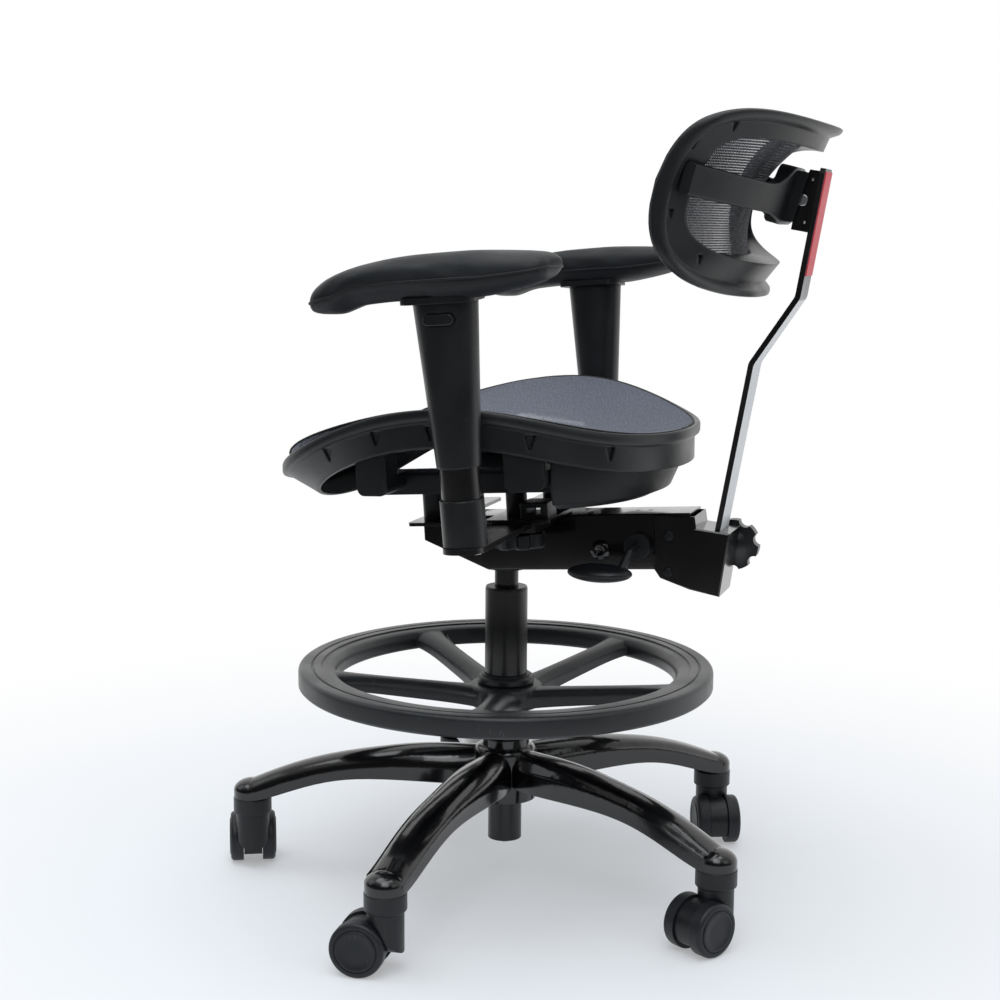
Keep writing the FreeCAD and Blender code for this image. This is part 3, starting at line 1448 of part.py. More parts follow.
def make_arm_guides():
    bar_low = arm_bar_top() - dim.arm_bar_t
    top = dim.beam_h + dim.cross_plate_lift
    floor = bar_low - dim.guide_floor
    half = dim.arm_bar_w / 2 + dim.slide_fit
    guides = []
    for side in (-1, 1):
        inner, outer = sorted((side * dim.guide_inner, side * dim.guide_outer))
        wall = half + dim.guide_wall
        guide = block(Vector(inner, dim.arm_y - wall, floor), Vector(outer, dim.arm_y + wall, top))
        guide = guide.cut(block(Vector(inner, dim.arm_y - half, bar_low),
                                Vector(outer, dim.arm_y + half, top)))
        knob_at = Vector(side * dim.arm_knob_x, dim.arm_y, floor)
        guides.append(guide.cut(Part.makeCylinder(dim.stud_d / 2 + dim.pin_fit, dim.guide_floor, knob_at)))
    group("arm_guides", guides, SEAT)


# Back


BACK = Placement(Vector(0, dim.back_y, dim.back_z), Rotation(ACROSS, -dim.back_tilt))


def back_depth(x, s):
    """Depth of the back's saddle: top and bottom curve rearwards, the sides come forwards."""
    up = s / dim.back_half_h
    wide = x / dim.back_half_w
    wrap = dim.back_wrap + dim.back_wrap_growth * up - dim.back_wrap_ease * up ** 2
    return dim.back_arch * up ** 2 + dim.back_slope * up - wrap * wide ** 2


def back_front(x, s):
    """Depth of the front of the back, which swells forwards in the middle."""
    up = s / dim.back_half_h
    wide = x / dim.back_half_w
    return back_depth(x, s) - dim.back_crown * (1 - wide ** 2) * (1 - up ** 2)


def back_rim(angle, inset):
    """Outline of the back, drawn in by an inset."""
    x = (dim.back_half_w - inset) * power(math.cos(angle), 2 / dim.back_power)
    s = (dim.back_half_h - inset) * power(math.sin(angle), 2 / dim.back_power)
    return x, s


def window_rim(angle):
    """Outline of the opening inside the band of the back frame."""
    high = dim.back_half_h - dim.back_band_top
    low = dim.back_half_h - dim.back_band_bottom
    x = (dim.back_half_w - dim.back_band_side) * power(math.cos(angle), 2 / dim.back_power)
    s = (high - low) / 2 + (high + low) / 2 * power(math.sin(angle), 2 / dim.back_power)
    return x, s


def band_rear(angle):
    """How far the inner edge of the band stands behind the saddle."""
    edge = dim.back_rear_top if math.sin(angle) > 0 else dim.back_rear_bottom
    return dim.back_rear_side + (edge - dim.back_rear_side) * math.sin(angle) ** 2


def loop_angles(count=56):
    return [2 * math.pi * (step + 0.5) / count for step in range(count)]


def back_loop(inset, behind):
    """Loop on the back's outline at a depth behind the saddle."""
    loop = []
    for angle in loop_angles():
        x, s = back_rim(angle, inset)
        loop.append(Vector(x, back_depth(x, s) + behind, s))
    return loop


def window_loop(rear):
    """Loop round the opening, on the rear of the band or on its front."""
    loop = []
    for angle in loop_angles():
        x, s = window_rim(angle)
        depth = back_depth(x, s) + band_rear(angle) if rear else back_front(x, s)
        loop.append(Vector(x, depth, s))
    return loop


def back_net_rim(angle):
    """Rim point of the back's net."""
    x, s = back_rim(angle, dim.back_mesh_inset)
    return Vector(x, s, 0)


def before_back(point):
    """Point just ahead of the back's front."""
    return Vector(point.x, back_front(point.x, point.y) - dim.soft_gap, point.y)


def make_back():
    lip_t, lip_r, lip_w = dim.back_lip_t, dim.back_lip_round, dim.back_lip_w
    frame = ring_solid([
        back_loop(lip_r, 0),
        back_loop(lip_r * 0.3, lip_r * 0.3),
        back_loop(0, lip_r),
        back_loop(0, lip_t - lip_r),
        back_loop(lip_r * 0.3, lip_t - lip_r * 0.3),
        back_loop(lip_r, lip_t),
        back_loop(lip_w - lip_r, lip_t),
        back_loop(lip_w, lip_t - lip_r),
        back_loop(lip_w + lip_r / 2, lip_t - dim.back_valley),
        window_loop(True),
        window_loop(False),
    ])
    feature("back_frame", frame, BACK)
    feature("back_mesh", disc_patch(back_net_rim, before_back, 15).extrude(ALONG * -dim.mesh_t), BACK)
    room = frame.copy()
    room.Placement = BACK
    room.translate(ALONG * dim.soft_gap)
    make_yoke(room)


def pivot():
    z = dim.pivot_z
    return Vector(0, bar_front_y(z) - dim.pivot_ahead, z)


def yoke_section(x, height, thickness, centre):
    """Rounded upright section of the bow in a plane square to X, leaning with the back."""
    r = dim.yoke_edge_r
    a, b = thickness / 2, height / 2
    soft = r * (1 - math.sqrt(0.5))
    corners = []
    for sy, sz in ((1, 1), (-1, 1), (-1, -1), (1, -1)):
        ends = [(sy * a, sz * (b - r)), (sy * (a - r), sz * b)]
        if sy * sz < 0:
            ends.reverse()
        middle = (sy * (a - soft), sz * (b - soft))
        corners.append([BACK.Rotation.multVec(Vector(x, *p)) + Vector(0, centre.y, centre.z)
                        for p in (ends[0], middle, ends[1])])
    edges = []
    for index, corner in enumerate(corners):
        edges.append(Part.Arc(*corner).toShape())
        edges.append(Part.LineSegment(corner[2], corners[(index + 1) % 4][0]).toShape())
    return Part.Wire(edges)


def behind_back(x, s, gap):
    """Point behind the back's saddle, in the row frame."""
    return BACK.multVec(Vector(x, back_depth(x, s) + gap, s))


def yoke_station(hub, share):
    """Place and size of the bow's section at a share of the way from the hub to the end."""
    x = dim.yoke_hub_half_w + (dim.yoke_end_x - dim.yoke_hub_half_w) * share
    near = max(0.0, 1 - share / dim.yoke_flare)
    flare = near * near * (3 - 2 * near)
    height = dim.yoke_waist_h + (dim.yoke_end_h - dim.yoke_waist_h) * share
    path = behind_back(x, dim.yoke_rise, dim.back_rear_side + dim.yoke_t / 2 + dim.yoke_stand)
    centre = path + (Vector(x, hub.y, hub.z) - path) * flare
    return (x, height + (dim.yoke_hub_h - height) * flare,
            dim.yoke_t + (dim.yoke_hub_t - dim.yoke_t) * flare, centre)


def yoke_cheeks(hub, at):
    """Two plates behind the hub that cover the sides of the bracket."""
    lean = BACK.Rotation.multVec(UP) * (dim.yoke_hub_h / 2 - dim.yoke_edge_r)
    high, low = at.z + dim.yoke_cheek_high, at.z - dim.yoke_cheek_low
    outline = [
        hub + lean,
        Vector(0, bar_front_y(high) - dim.yoke_cheek_high_gap, high),
        Vector(0, bar_front_y(low) - dim.yoke_cheek_low_gap, low),
        hub - lean,
    ]
    cheeks = []
    for x in (-dim.yoke_hub_half_w, dim.yoke_hub_half_w - dim.yoke_cheek_t):
        plate_face = polygon_face([point + ACROSS * x for point in outline])
        cheek = plate_face.extrude(ACROSS * dim.yoke_cheek_t)
        rear = edges_where(cheek, lambda edge: abs(edge.tangentAt(0).x) > 0.9
                           and edge.CenterOfMass.y > hub.y + dim.yoke_hub_t / 2)
        cheeks.append(cheek.makeFillet(dim.yoke_edge_r, rear))
    return cheeks


def make_yoke(frame_room):
    """Bow behind the net, cut to sit on the band of the frame, with a tongue for the pivot pin.

    Two cheeks behind its hub cover the sides of the bracket.
    """
    at = pivot()
    hub = Vector(0, at.y - dim.yoke_hub_ahead - dim.yoke_hub_t / 2, dim.yoke_hub_z)
    run = [yoke_station(hub, share) for share in (1, 0.8, 0.6, 0.45, 0.32, 0.24, 0.16, 0.08, 0)]
    left = [yoke_section(*station) for station in run]
    right = [yoke_section(-x, height, thickness, centre) for x, height, thickness, centre in run]
    bow = Part.makeLoft(left + right[::-1], True, True)
    half = dim.tongue_w / 2
    tongue = block(Vector(-half, hub.y, at.z - dim.tongue_r), Vector(half, at.y, at.z + dim.tongue_r))
    tongue = tongue.fuse(rod(2 * dim.tongue_r, at - ACROSS * half, at + ACROSS * half))
    eye = rod(dim.pivot_pin_d + 2 * dim.pin_fit, at - ACROSS * dim.bracket_w, at + ACROSS * dim.bracket_w)
    bow = bow.cut(frame_room)
    feature("back_yoke", bow.fuse(tongue).cut(eye).fuse(yoke_cheeks(hub, at)))
    make_bracket(at, half + dim.soft_gap, eye)


def make_bracket(at, cheek_in, eye):
    """Bracket on the bar with two cheeks that hold the pivot pin."""
    face = Placement(Vector(0, bar_front_y(at.z), at.z), Rotation(ACROSS, -dim.bar_top_lean))
    wide = dim.bracket_w / 2
    web = block(Vector(-wide, -dim.bracket_t, -dim.bracket_low), Vector(wide, 0, dim.bracket_high))
    front = -dim.pivot_ahead - dim.cheek_ahead
    slant = math.tan(math.radians(dim.cheek_top_lean - dim.bar_top_lean)) * dim.bracket_high
    side_view = [
        (-dim.bracket_t, -dim.bracket_low), (front, -dim.bracket_low), (front, 0),
        (front + slant, dim.bracket_high), (-dim.bracket_t, dim.bracket_high),
    ]
    cheeks = []
    for near in (-cheek_in - dim.cheek_t, cheek_in):
        cheeks.append(polygon_face([Vector(near, y, z) for y, z in side_view]).extrude(ACROSS * dim.cheek_t))
    bracket = web.fuse(cheeks)
    bracket.Placement = face
    feature("back_bracket", bracket.cut(eye))
    span = cheek_in + dim.cheek_t
    pin = rod(dim.pivot_pin_d, at - ACROSS * span, at + ACROSS * span)
    heads = [
        dome_head(at + ACROSS * side * span, dim.pivot_head_d, dim.pivot_head_h, ACROSS * side)
        for side in (-1, 1)
    ]
    feature("pivot_pin", pin.fuse(heads))
    screws = []
    for side in (-1, 1):
        for z in (dim.screw_head_d - dim.bracket_low, dim.bracket_high - dim.screw_head_d):
            start = Vector(side * (wide - dim.bracket_screw_edge), -dim.bracket_t, z)
            screws.append(dome_head(start, dim.bracket_screw_d, dim.screw_head_h, -ALONG))
    group("bracket_screws", screws, face)


make_base()
make_casters()
make_column()
make_foot_ring()
make_beam()
make_plates()
make_housing()
make_back_bar()
make_knobs()
make_lever()
make_seat()
make_arm_guides()
for arm_side, arm_name in ((1, "left"), (-1, "right")):
    make_arm(arm_side, arm_name)
make_back()

doc.recompute()
for item in doc.Objects:
    if "Invalid" in item.State or "Error" in item.State:
        raise RuntimeError(f"{item.Label} failed to build: {item.State}")
for item in nodes:
    if item.Shape.isNull() or not item.Shape.isValid() or not item.Shape.Solids:
        raise RuntimeError(f"{item.Label} has no valid solid")
os.makedirs("parts", exist_ok=True)
for item in nodes:
    item.Shape.exportStep(f"parts/{item.Label}.step")
print(len(nodes), "sub-parts written")
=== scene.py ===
import json
import math

import bmesh
import bpy
from bpy.props import FloatProperty, FloatVectorProperty, PointerProperty
from mathutils import Matrix, Quaternion, Vector
from mathutils.bvhtree import BVHTree


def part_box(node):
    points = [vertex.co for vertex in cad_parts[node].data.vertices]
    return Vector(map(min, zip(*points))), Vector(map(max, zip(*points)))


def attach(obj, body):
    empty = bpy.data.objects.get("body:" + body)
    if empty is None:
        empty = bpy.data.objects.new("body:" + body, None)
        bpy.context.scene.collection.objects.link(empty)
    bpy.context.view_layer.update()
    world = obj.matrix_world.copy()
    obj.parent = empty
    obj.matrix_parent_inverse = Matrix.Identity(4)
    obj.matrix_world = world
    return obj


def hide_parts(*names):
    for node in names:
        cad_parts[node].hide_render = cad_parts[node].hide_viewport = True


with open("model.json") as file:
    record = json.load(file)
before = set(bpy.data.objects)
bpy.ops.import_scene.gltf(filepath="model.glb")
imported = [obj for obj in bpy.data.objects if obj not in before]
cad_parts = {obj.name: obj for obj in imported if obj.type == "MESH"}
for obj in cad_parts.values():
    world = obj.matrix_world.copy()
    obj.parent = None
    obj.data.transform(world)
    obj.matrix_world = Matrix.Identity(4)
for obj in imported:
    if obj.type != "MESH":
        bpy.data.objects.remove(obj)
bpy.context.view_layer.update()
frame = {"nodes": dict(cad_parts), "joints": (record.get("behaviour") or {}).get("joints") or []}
NODES = frame["nodes"]
SIDES = (("left", 1), ("right", -1))
CASTERS = range(1, 6)
GRID = 61  # points along each side of a net

bl_info = {
    "name": "Studio chair",
    "version": (1, 0, 0),
    "blender": (4, 5, 0),
    "location": "3D View > Sidebar > Chair",
    "description": "Dresses the studio chair's frame with fabric, pads and finishes",
    "category": "Object",
}


def colour(name, about, default):
    return FloatVectorProperty(
        name=name, description=about, subtype="COLOR", size=3, min=0, max=1, default=default)


def length(name, about, default):
    return FloatProperty(name=name, description=about, unit="LENGTH", min=0, precision=5, default=default)


def angle(name, about, default):
    return FloatProperty(name=name, description=about, subtype="ANGLE", default=math.radians(default))


class ChairColours(bpy.types.PropertyGroup):
    enamel: colour("Enamel", "Gloss black of the base, the tube and the beam", (0.002, 0.002, 0.0025))
    plastic: colour("Plastic", "Matt black of the small mouldings", (0.0050, 0.0060, 0.0076))
    ring: colour("Foot ring", "Worn black of the foot ring", (0.0112, 0.0130, 0.0150))
    shell: colour("Rims", "Dark grey of the seat rim and the back rim", (0.0068, 0.0083, 0.0096))
    wheel: colour("Wheels", "Dark grey of the caster wheels", (0.0080, 0.0094, 0.0120))
    pad: colour("Arm pads", "Skin of the arm pads", (0.0118, 0.0134, 0.0150))
    steel: colour("Steel", "Bright screws and pins", (0.62, 0.63, 0.65))
    # Painted reflection: this pale colour stands in for the white backdrop mirrored in the black gloss on the
    # rear of the back bar.
    bar: colour("Bar face", "Pale face on the rear of the back bar", (0.60, 0.61, 0.62))
    strip: colour("Strip", "Red strip on the back bar", (0.64, 0.050, 0.070))
    seat_net: colour("Seat net", "Threads of the seat fabric", (0.106, 0.116, 0.152))
    back_net: colour("Back net", "Threads of the back fabric", (0.042, 0.044, 0.050))
    floor: colour("Floor", "Pale floor", (0.70, 0.735, 0.78))


class ChairSizes(bpy.types.PropertyGroup):
    seat_pitch: length("Seat net pitch", "Distance between threads of the seat fabric", 0.0019)
    back_pitch: length("Back net pitch", "Distance between threads of the back fabric", 0.0026)
    net_thickness: length("Net thickness", "Thickness of the fabrics", 0.0010)
    hem_radius: length("Hem radius", "Radius of the welt round each fabric", 0.0013)
    pad_voxel: length("Pad voxel", "Cell of the arm pad's cloth mesh", 0.0045)
    pad_swell: length("Pad swell", "Furthest that a point of the arm pad may swell", 0.005)
    piping_radius: length("Piping radius", "Radius of the piping round each arm pad", 0.0014)
    cap_proud: length("Cap height", "How far the caps of the wheels stand out", 0.0011)
    bolt_radius: length("Bolt radius", "Radius of the bolt head on the beam", 0.0115)
    crease_angle: angle("Crease angle", "Edges sharper than this stay sharp", 32)


def chair():
    return bpy.context.scene.studio_chair_colours, bpy.context.scene.studio_chair_sizes


# Node building


def link(tree, node, socket, value):
    """Joins a value or another node's output to an input."""
    if isinstance(value, bpy.types.NodeSocket):
        tree.links.new(value, node.inputs[socket])
    else:
        node.inputs[socket].default_value = value


def add(tree, kind, inputs=(), **settings):
    node = tree.nodes.new(kind)
    for key, value in settings.items():
        setattr(node, key, value)
    for socket, value in dict(inputs).items():
        link(tree, node, socket, value)
    return node


def calc(tree, operation, *values):
    return add(tree, "ShaderNodeMath", dict(enumerate(values)), operation=operation).outputs[0]


def ramp(tree, value, low, high, out_low=0.0, out_high=1.0):
    """Value carried from one range to another with a smooth start and end."""
    inputs = {"Value": value, "From Min": low, "From Max": high, "To Min": out_low, "To Max": out_high}
    return add(tree, "ShaderNodeMapRange", inputs, interpolation_type="SMOOTHSTEP").outputs[0]


def mix_colour(tree, factor, first, second):
    node = add(tree, "ShaderNodeMix", data_type="RGBA")
    for socket, value in ((0, factor), (6, first), (7, second)):
        link(tree, node, socket, value)
    return node.outputs[2]


def noise(tree, vector, scale, detail=2.0):
    inputs = {"Vector": vector, "Scale": scale, "Detail": detail}
    return add(tree, "ShaderNodeTexNoise", inputs).outputs["Fac"]


def seen_by_camera(tree):
    """1 for rays that show the background: from the camera, a gloss or a glass."""
    path = add(tree, "ShaderNodeLightPath").outputs
    either = calc(tree, "MAXIMUM", path["Is Camera Ray"], path["Is Glossy Ray"])
    return calc(tree, "MAXIMUM", either, path["Is Transmission Ray"])


def shade_group(name, inputs, outputs):
    """Empty node group with its sockets."""
    tree = bpy.data.node_groups.new(name, "ShaderNodeTree")
    for label, kind, default in inputs:
        socket = tree.interface.new_socket(name=label, in_out="INPUT", socket_type=kind)
        if default is not None:
            socket.default_value = default
    for label, kind in outputs:
        tree.interface.new_socket(name=label, in_out="OUTPUT", socket_type=kind)
    return tree, tree.nodes.new("NodeGroupInput"), tree.nodes.new("NodeGroupOutput")


FLOAT, VECTOR = "NodeSocketFloat", "NodeSocketVector"


def grain_group():
    """Fine moulded or sprayed texture."""
    tree, given, result = shade_group(
        "moulded_grain", [("Vector", VECTOR, None), ("Scale", FLOAT, 900.0)],
        [("Height", FLOAT), ("Tone", FLOAT)])
    vector, scale = given.outputs["Vector"], given.outputs["Scale"]
    cells = add(tree, "ShaderNodeTexVoronoi", {"Vector": vector, "Scale": scale}).outputs["Distance"]
    fine = noise(tree, vector, calc(tree, "MULTIPLY", scale, 0.6), 3.0)
    link(tree, result, "Height", calc(tree, "ADD", calc(tree, "MULTIPLY", cells, 0.6), fine))
    link(tree, result, "Tone", noise(tree, vector, calc(tree, "MULTIPLY", scale, 0.02), 3.0))
    return tree


def wear_group():
    """Softened edges, with a mask where handling has polished them."""
    tree, given, result = shade_group(
        "edge_wear", [("Vector", VECTOR, None), ("Radius", FLOAT, 0.001)],
        [("Normal", VECTOR), ("Mask", FLOAT)])
    soft = add(tree, "ShaderNodeBevel", {"Radius": given.outputs["Radius"]}, samples=3).outputs["Normal"]
    flat = add(tree, "ShaderNodeNewGeometry").outputs["Normal"]
    along = add(tree, "ShaderNodeVectorMath", {0: soft, 1: flat}, operation="DOT_PRODUCT").outputs["Value"]
    patches = ramp(tree, noise(tree, given.outputs["Vector"], 60.0), 0.42, 0.66)
    edge = ramp(tree, calc(tree, "SUBTRACT", 1.0, along), 0.01, 0.16)
    link(tree, result, "Normal", soft)
    link(tree, result, "Mask", calc(tree, "MULTIPLY", edge, patches))
    return tree


def dust_group():
    """Clouds of handling and settled dust, and short scuffs."""
    tree, given, result = shade_group(
        "dust_and_scuffs", [("Vector", VECTOR, None), ("Scuffs", FLOAT, 0.5)],
        [("Cloud", FLOAT), ("Scuff", FLOAT)])
    vector = given.outputs["Vector"]
    link(tree, result, "Cloud", noise(tree, vector, 14.0, 5.0))
    drawn = {"Vector": vector, "Rotation": (0.4, 0.9, 0.6), "Scale": (30, 420, 90)}
    stretch = add(tree, "ShaderNodeMapping", drawn)
    marks = ramp(tree, noise(tree, stretch.outputs[0], 1.0, 2.0), 0.66, 0.74)
    where = ramp(tree, noise(tree, vector, 9.0, 2.0), 0.52, 0.68)
    patchy = calc(tree, "MULTIPLY", marks, where)
    link(tree, result, "Scuff", calc(tree, "MULTIPLY", patchy, given.outputs["Scuffs"]))
    return tree


def net_group():
    """Plain woven net: threads over and under, with small open meshes."""
    tree, given, result = shade_group(
        "net_weave", [("Across", FLOAT, 0.0), ("Along", FLOAT, 0.0), ("Pitch", FLOAT, 0.002)],
        [("Height", FLOAT), ("Cover", FLOAT), ("Tone", FLOAT)])
    pitch = given.outputs["Pitch"]
    a = calc(tree, "DIVIDE", given.outputs["Across"], pitch)
    b = calc(tree, "DIVIDE", given.outputs["Along"], pitch)
    warp = calc(tree, "MULTIPLY", calc(tree, "PINGPONG", a, 0.5), 2.0)
    weft = calc(tree, "MULTIPLY", calc(tree, "PINGPONG", b, 0.5), 2.0)
    thread = calc(tree, "MAXIMUM", warp, weft)
    column = calc(tree, "FLOOR", calc(tree, "ADD", a, 0.5))
    row = calc(tree, "FLOOR", calc(tree, "ADD", b, 0.5))
    over = calc(tree, "PINGPONG", calc(tree, "ADD", column, row), 1.0)
    drawn = {"X": calc(tree, "MULTIPLY", a, 0.35), "Y": calc(tree, "MULTIPLY", b, 1.3)}
    place = add(tree, "ShaderNodeCombineXYZ", drawn)
    fleck = ramp(tree, noise(tree, place.outputs[0], 1.0, 1.0), 0.40, 0.68)
    link(tree, result, "Height", calc(tree, "ADD", thread, calc(tree, "MULTIPLY", over, 0.4)))
    link(tree, result, "Cover", ramp(tree, thread, 0.34, 0.46))
    upper, flecked = calc(tree, "MULTIPLY", over, 0.45), calc(tree, "MULTIPLY", fleck, 0.55)
    link(tree, result, "Tone", calc(tree, "ADD", upper, flecked))
    return tree


# Finishes


GROUPS = {}
FINISHES = {}


def use_group(tree, maker, inputs):
    """Node that places a shared group, built on first use."""
    if maker not in GROUPS:
        GROUPS[maker] = maker()
    node = tree.nodes.new("ShaderNodeGroup")
    node.node_tree = GROUPS[maker]
    for socket, value in inputs.items():
        link(tree, node, socket, value)
    return node


def shade(value, factor):
    return (*(min(1.0, part * factor) for part in value), 1.0)


def new_material(name):
    material = bpy.data.materials.new(name)
    material.use_nodes = True
    tree = material.node_tree
    return material, tree, tree.nodes["Principled BSDF"]


def hard_finish(name, base, roughness, grain=900.0, depth=0.02, wear=0.25, scuffs=0.3, edge=0.0008, coat=0.0,
                metallic=0.0, specular=0.5, cloud=0.25):
    """Painted, moulded or bright surface with grain, softened worn edges, dust and scuffs."""
    if name in FINISHES:
        return FINISHES[name]
    material, tree, shader = new_material(name)
    place = add(tree, "ShaderNodeTexCoord").outputs["Object"]
    grains = use_group(tree, grain_group, {"Vector": place, "Scale": grain})
    worn = use_group(tree, wear_group, {"Vector": place, "Radius": edge})
    dust = use_group(tree, dust_group, {"Vector": place, "Scuffs": scuffs})
    tone = mix_colour(tree, dust.outputs["Cloud"], shade(base, 1 - cloud), shade(base, 1 + cloud))
    rubbed = calc(tree, "MULTIPLY", worn.outputs["Mask"], wear)
    marked = calc(tree, "ADD", rubbed, dust.outputs["Scuff"])
    pale = tuple(part * 0.75 + 0.06 for part in base)
    link(tree, shader, "Base Color", mix_colour(tree, marked, tone, shade(pale, 1)))
    rough = calc(tree, "ADD", ramp(tree, dust.outputs["Cloud"], 0.3, 0.7, roughness * 0.85, roughness * 1.15),
                 calc(tree, "MULTIPLY", dust.outputs["Scuff"], 0.3))
    link(tree, shader, "Roughness", rough)
    bump = add(tree, "ShaderNodeBump", {
        "Strength": depth * 10, "Distance": 0.0004,
        "Height": grains.outputs["Height"], "Normal": worn.outputs["Normal"]})
    link(tree, shader, "Normal", bump.outputs["Normal"])
    shader.inputs["Metallic"].default_value = metallic
    shader.inputs["Coat Weight"].default_value = coat
    shader.inputs["Coat Roughness"].default_value = 0.08
    shader.inputs["Specular IOR Level"].default_value = specular
    FINISHES[name] = material
    return material


def net_finish(name, base, pitch, along, pale):
    """Woven fabric with open meshes; along is the axis its weft runs up."""
    material, tree, shader = new_material(name)
    place = add(tree, "ShaderNodeSeparateXYZ", {0: add(tree, "ShaderNodeTexCoord").outputs["Object"]})
    net = use_group(
        tree, net_group, {"Across": place.outputs["X"], "Along": place.outputs[along], "Pitch": pitch})
    tone = mix_colour(tree, net.outputs["Tone"], shade(base, 0.55), shade(base, pale))
    link(tree, shader, "Base Color", tone)
    link(tree, shader, "Alpha", net.outputs["Cover"])
    link(tree, shader, "Roughness", ramp(tree, net.outputs["Tone"], 0.0, 1.0, 0.85, 0.6))
    bump = add(tree, "ShaderNodeBump", {"Strength": 0.5, "Distance": 0.0005, "Height": net.outputs["Height"]})
    link(tree, shader, "Normal", bump.outputs["Normal"])
    shader.inputs["Sheen Weight"].default_value = 0.15
    shader.inputs["Specular IOR Level"].default_value = 0.25
    return material


def bar_enamel_and_painted_reflection(colours):
    """Back bar: black edges, a pale colour painted on the faces turned to the rear as a painted reflection of
    the white backdrop in the black gloss, and a dark band below the strip.
    """
    material, tree, shader = new_material("back_bar_enamel_and_painted_reflection")
    where = add(tree, "ShaderNodeTexCoord")
    height = add(tree, "ShaderNodeSeparateXYZ", {0: where.outputs["Object"]}).outputs["Z"]
    rearward = add(tree, "ShaderNodeSeparateXYZ", {0: where.outputs["Normal"]}).outputs["Y"]
    band, scuffed = (0.10, 0.10, 0.105, 1.0), (0.25, 0.25, 0.26, 1.0)
    reflection_top, band_foot = 0.6985, 0.7000
    # Painted reflection: faces turned to the rear get the pale colour in place of the white backdrop that the
    # black gloss would mirror.
    behind = ramp(tree, rearward, 0.55, 0.65)
    low = ramp(tree, height, reflection_top, band_foot, 1.0, 0.0)
    dust = use_group(tree, dust_group, {"Vector": where.outputs["Object"], "Scuffs": 0.4})
    worn = use_group(tree, wear_group, {"Vector": where.outputs["Object"], "Radius": 0.0007})
    pale = mix_colour(tree, dust.outputs["Cloud"], shade(colours.bar, 0.86), shade(colours.bar, 1.12))
    face = mix_colour(tree, low, band, pale)
    full = mix_colour(tree, behind, shade(colours.enamel, 1.2), face)
    link(tree, shader, "Base Color", mix_colour(tree, dust.outputs["Scuff"], full, scuffed))
    link(tree, shader, "Roughness", ramp(tree, dust.outputs["Cloud"], 0.3, 0.7, 0.28, 0.42))
    link(tree, shader, "Normal", worn.outputs["Normal"])
    return material


def enamel(colours):
    return hard_finish("gloss_enamel", colours.enamel, 0.16, grain=260.0, depth=0.004, wear=0.3, scuffs=0.12,
                       coat=0.5, specular=0.42, edge=0.003)


def satin_enamel(colours):
    return hard_finish("satin_enamel", colours.enamel, 0.3, grain=500.0, depth=0.01, wear=0.35, scuffs=0.15)


def matt_plastic(colours):
    return hard_finish("matt_plastic", colours.plastic, 0.38, grain=1500.0, depth=0.025, wear=0.2,
                       scuffs=0.15, edge=0.0016, specular=0.4)


def knob_plastic(colours):
    return hard_finish("knob_plastic", colours.plastic, 0.3, grain=900.0, depth=0.015, wear=0.2, scuffs=0.1)


def bright_steel(colours):
    return hard_finish("bright_steel", colours.steel, 0.28, grain=1200.0, depth=0.01, wear=0.0, scuffs=0.1,
                       metallic=1.0)


# Mesh building


def new_piece(name, mesh, material, body):
    piece = bpy.data.objects.new(name, mesh)
    bpy.context.scene.collection.objects.link(piece)
    mesh.materials.clear()
    mesh.materials.append(material)
    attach(piece, body)
    return piece


def mesh_of(name, fill):
    """Mesh built by a function that fills a bmesh."""
    shape = bmesh.new()
    fill(shape)
    bmesh.ops.recalc_face_normals(shape, faces=shape.faces)
    mesh = bpy.data.meshes.new(name)
    shape.to_mesh(mesh)
    shape.free()
    mesh.shade_smooth()
    return mesh


def crease_group():
    """Geometry nodes that keep edges sharp above an angle and smooth the rest."""
    name = "smooth_below_crease"
    if name in bpy.data.node_groups:
        return bpy.data.node_groups[name]
    tree = bpy.data.node_groups.new(name, "GeometryNodeTree")
    tree.is_modifier = True
    tree.interface.new_socket(name="Geometry", in_out="INPUT", socket_type="NodeSocketGeometry")
    tree.interface.new_socket(name="Angle", in_out="INPUT", socket_type="NodeSocketFloat")
    tree.interface.new_socket(name="Geometry", in_out="OUTPUT", socket_type="NodeSocketGeometry")
    given = tree.nodes.new("NodeGroupInput")
    result = tree.nodes.new("NodeGroupOutput")
    bend = tree.nodes.new("GeometryNodeInputMeshEdgeAngle").outputs["Unsigned Angle"]
    limit = {0: bend, 1: given.outputs["Angle"]}
    gentle = add(tree, "FunctionNodeCompare", limit, operation="LESS_THAN").outputs[0]
    shown = given.outputs["Geometry"]
    for domain, smooth in (("FACE", True), ("EDGE", gentle)):
        inputs = {0: shown, "Shade Smooth": smooth}
        shown = add(tree, "GeometryNodeSetShadeSmooth", inputs, domain=domain).outputs[0]
    tree.links.new(shown, result.inputs[0])
    return tree


def dress(names, material, crease=None):
    """Gives CAD nodes a finish and smooth shading below the crease angle."""
    sizes = chair()[1]
    for name in [names] if isinstance(names, str) else names:
        node = NODES[name]
        node.data.materials.clear()
        node.data.materials.append(material)
        for layer in ("custom_normal", "sharp_face"):
            if layer in node.data.attributes:
                node.data.attributes.remove(node.data.attributes[layer])
        node.modifiers.new("weld", "WELD").merge_threshold = 2e-6
        smooth = node.modifiers.new("smooth", "NODES")
        smooth.node_group = crease_group()
        smooth["Socket_1"] = math.radians(crease) if crease else sizes.crease_angle


def tree_of(mesh):
    return BVHTree.FromPolygons([v.co for v in mesh.vertices], [p.vertices for p in mesh.polygons])


def ray_tree(name):
    return tree_of(NODES[name].data)


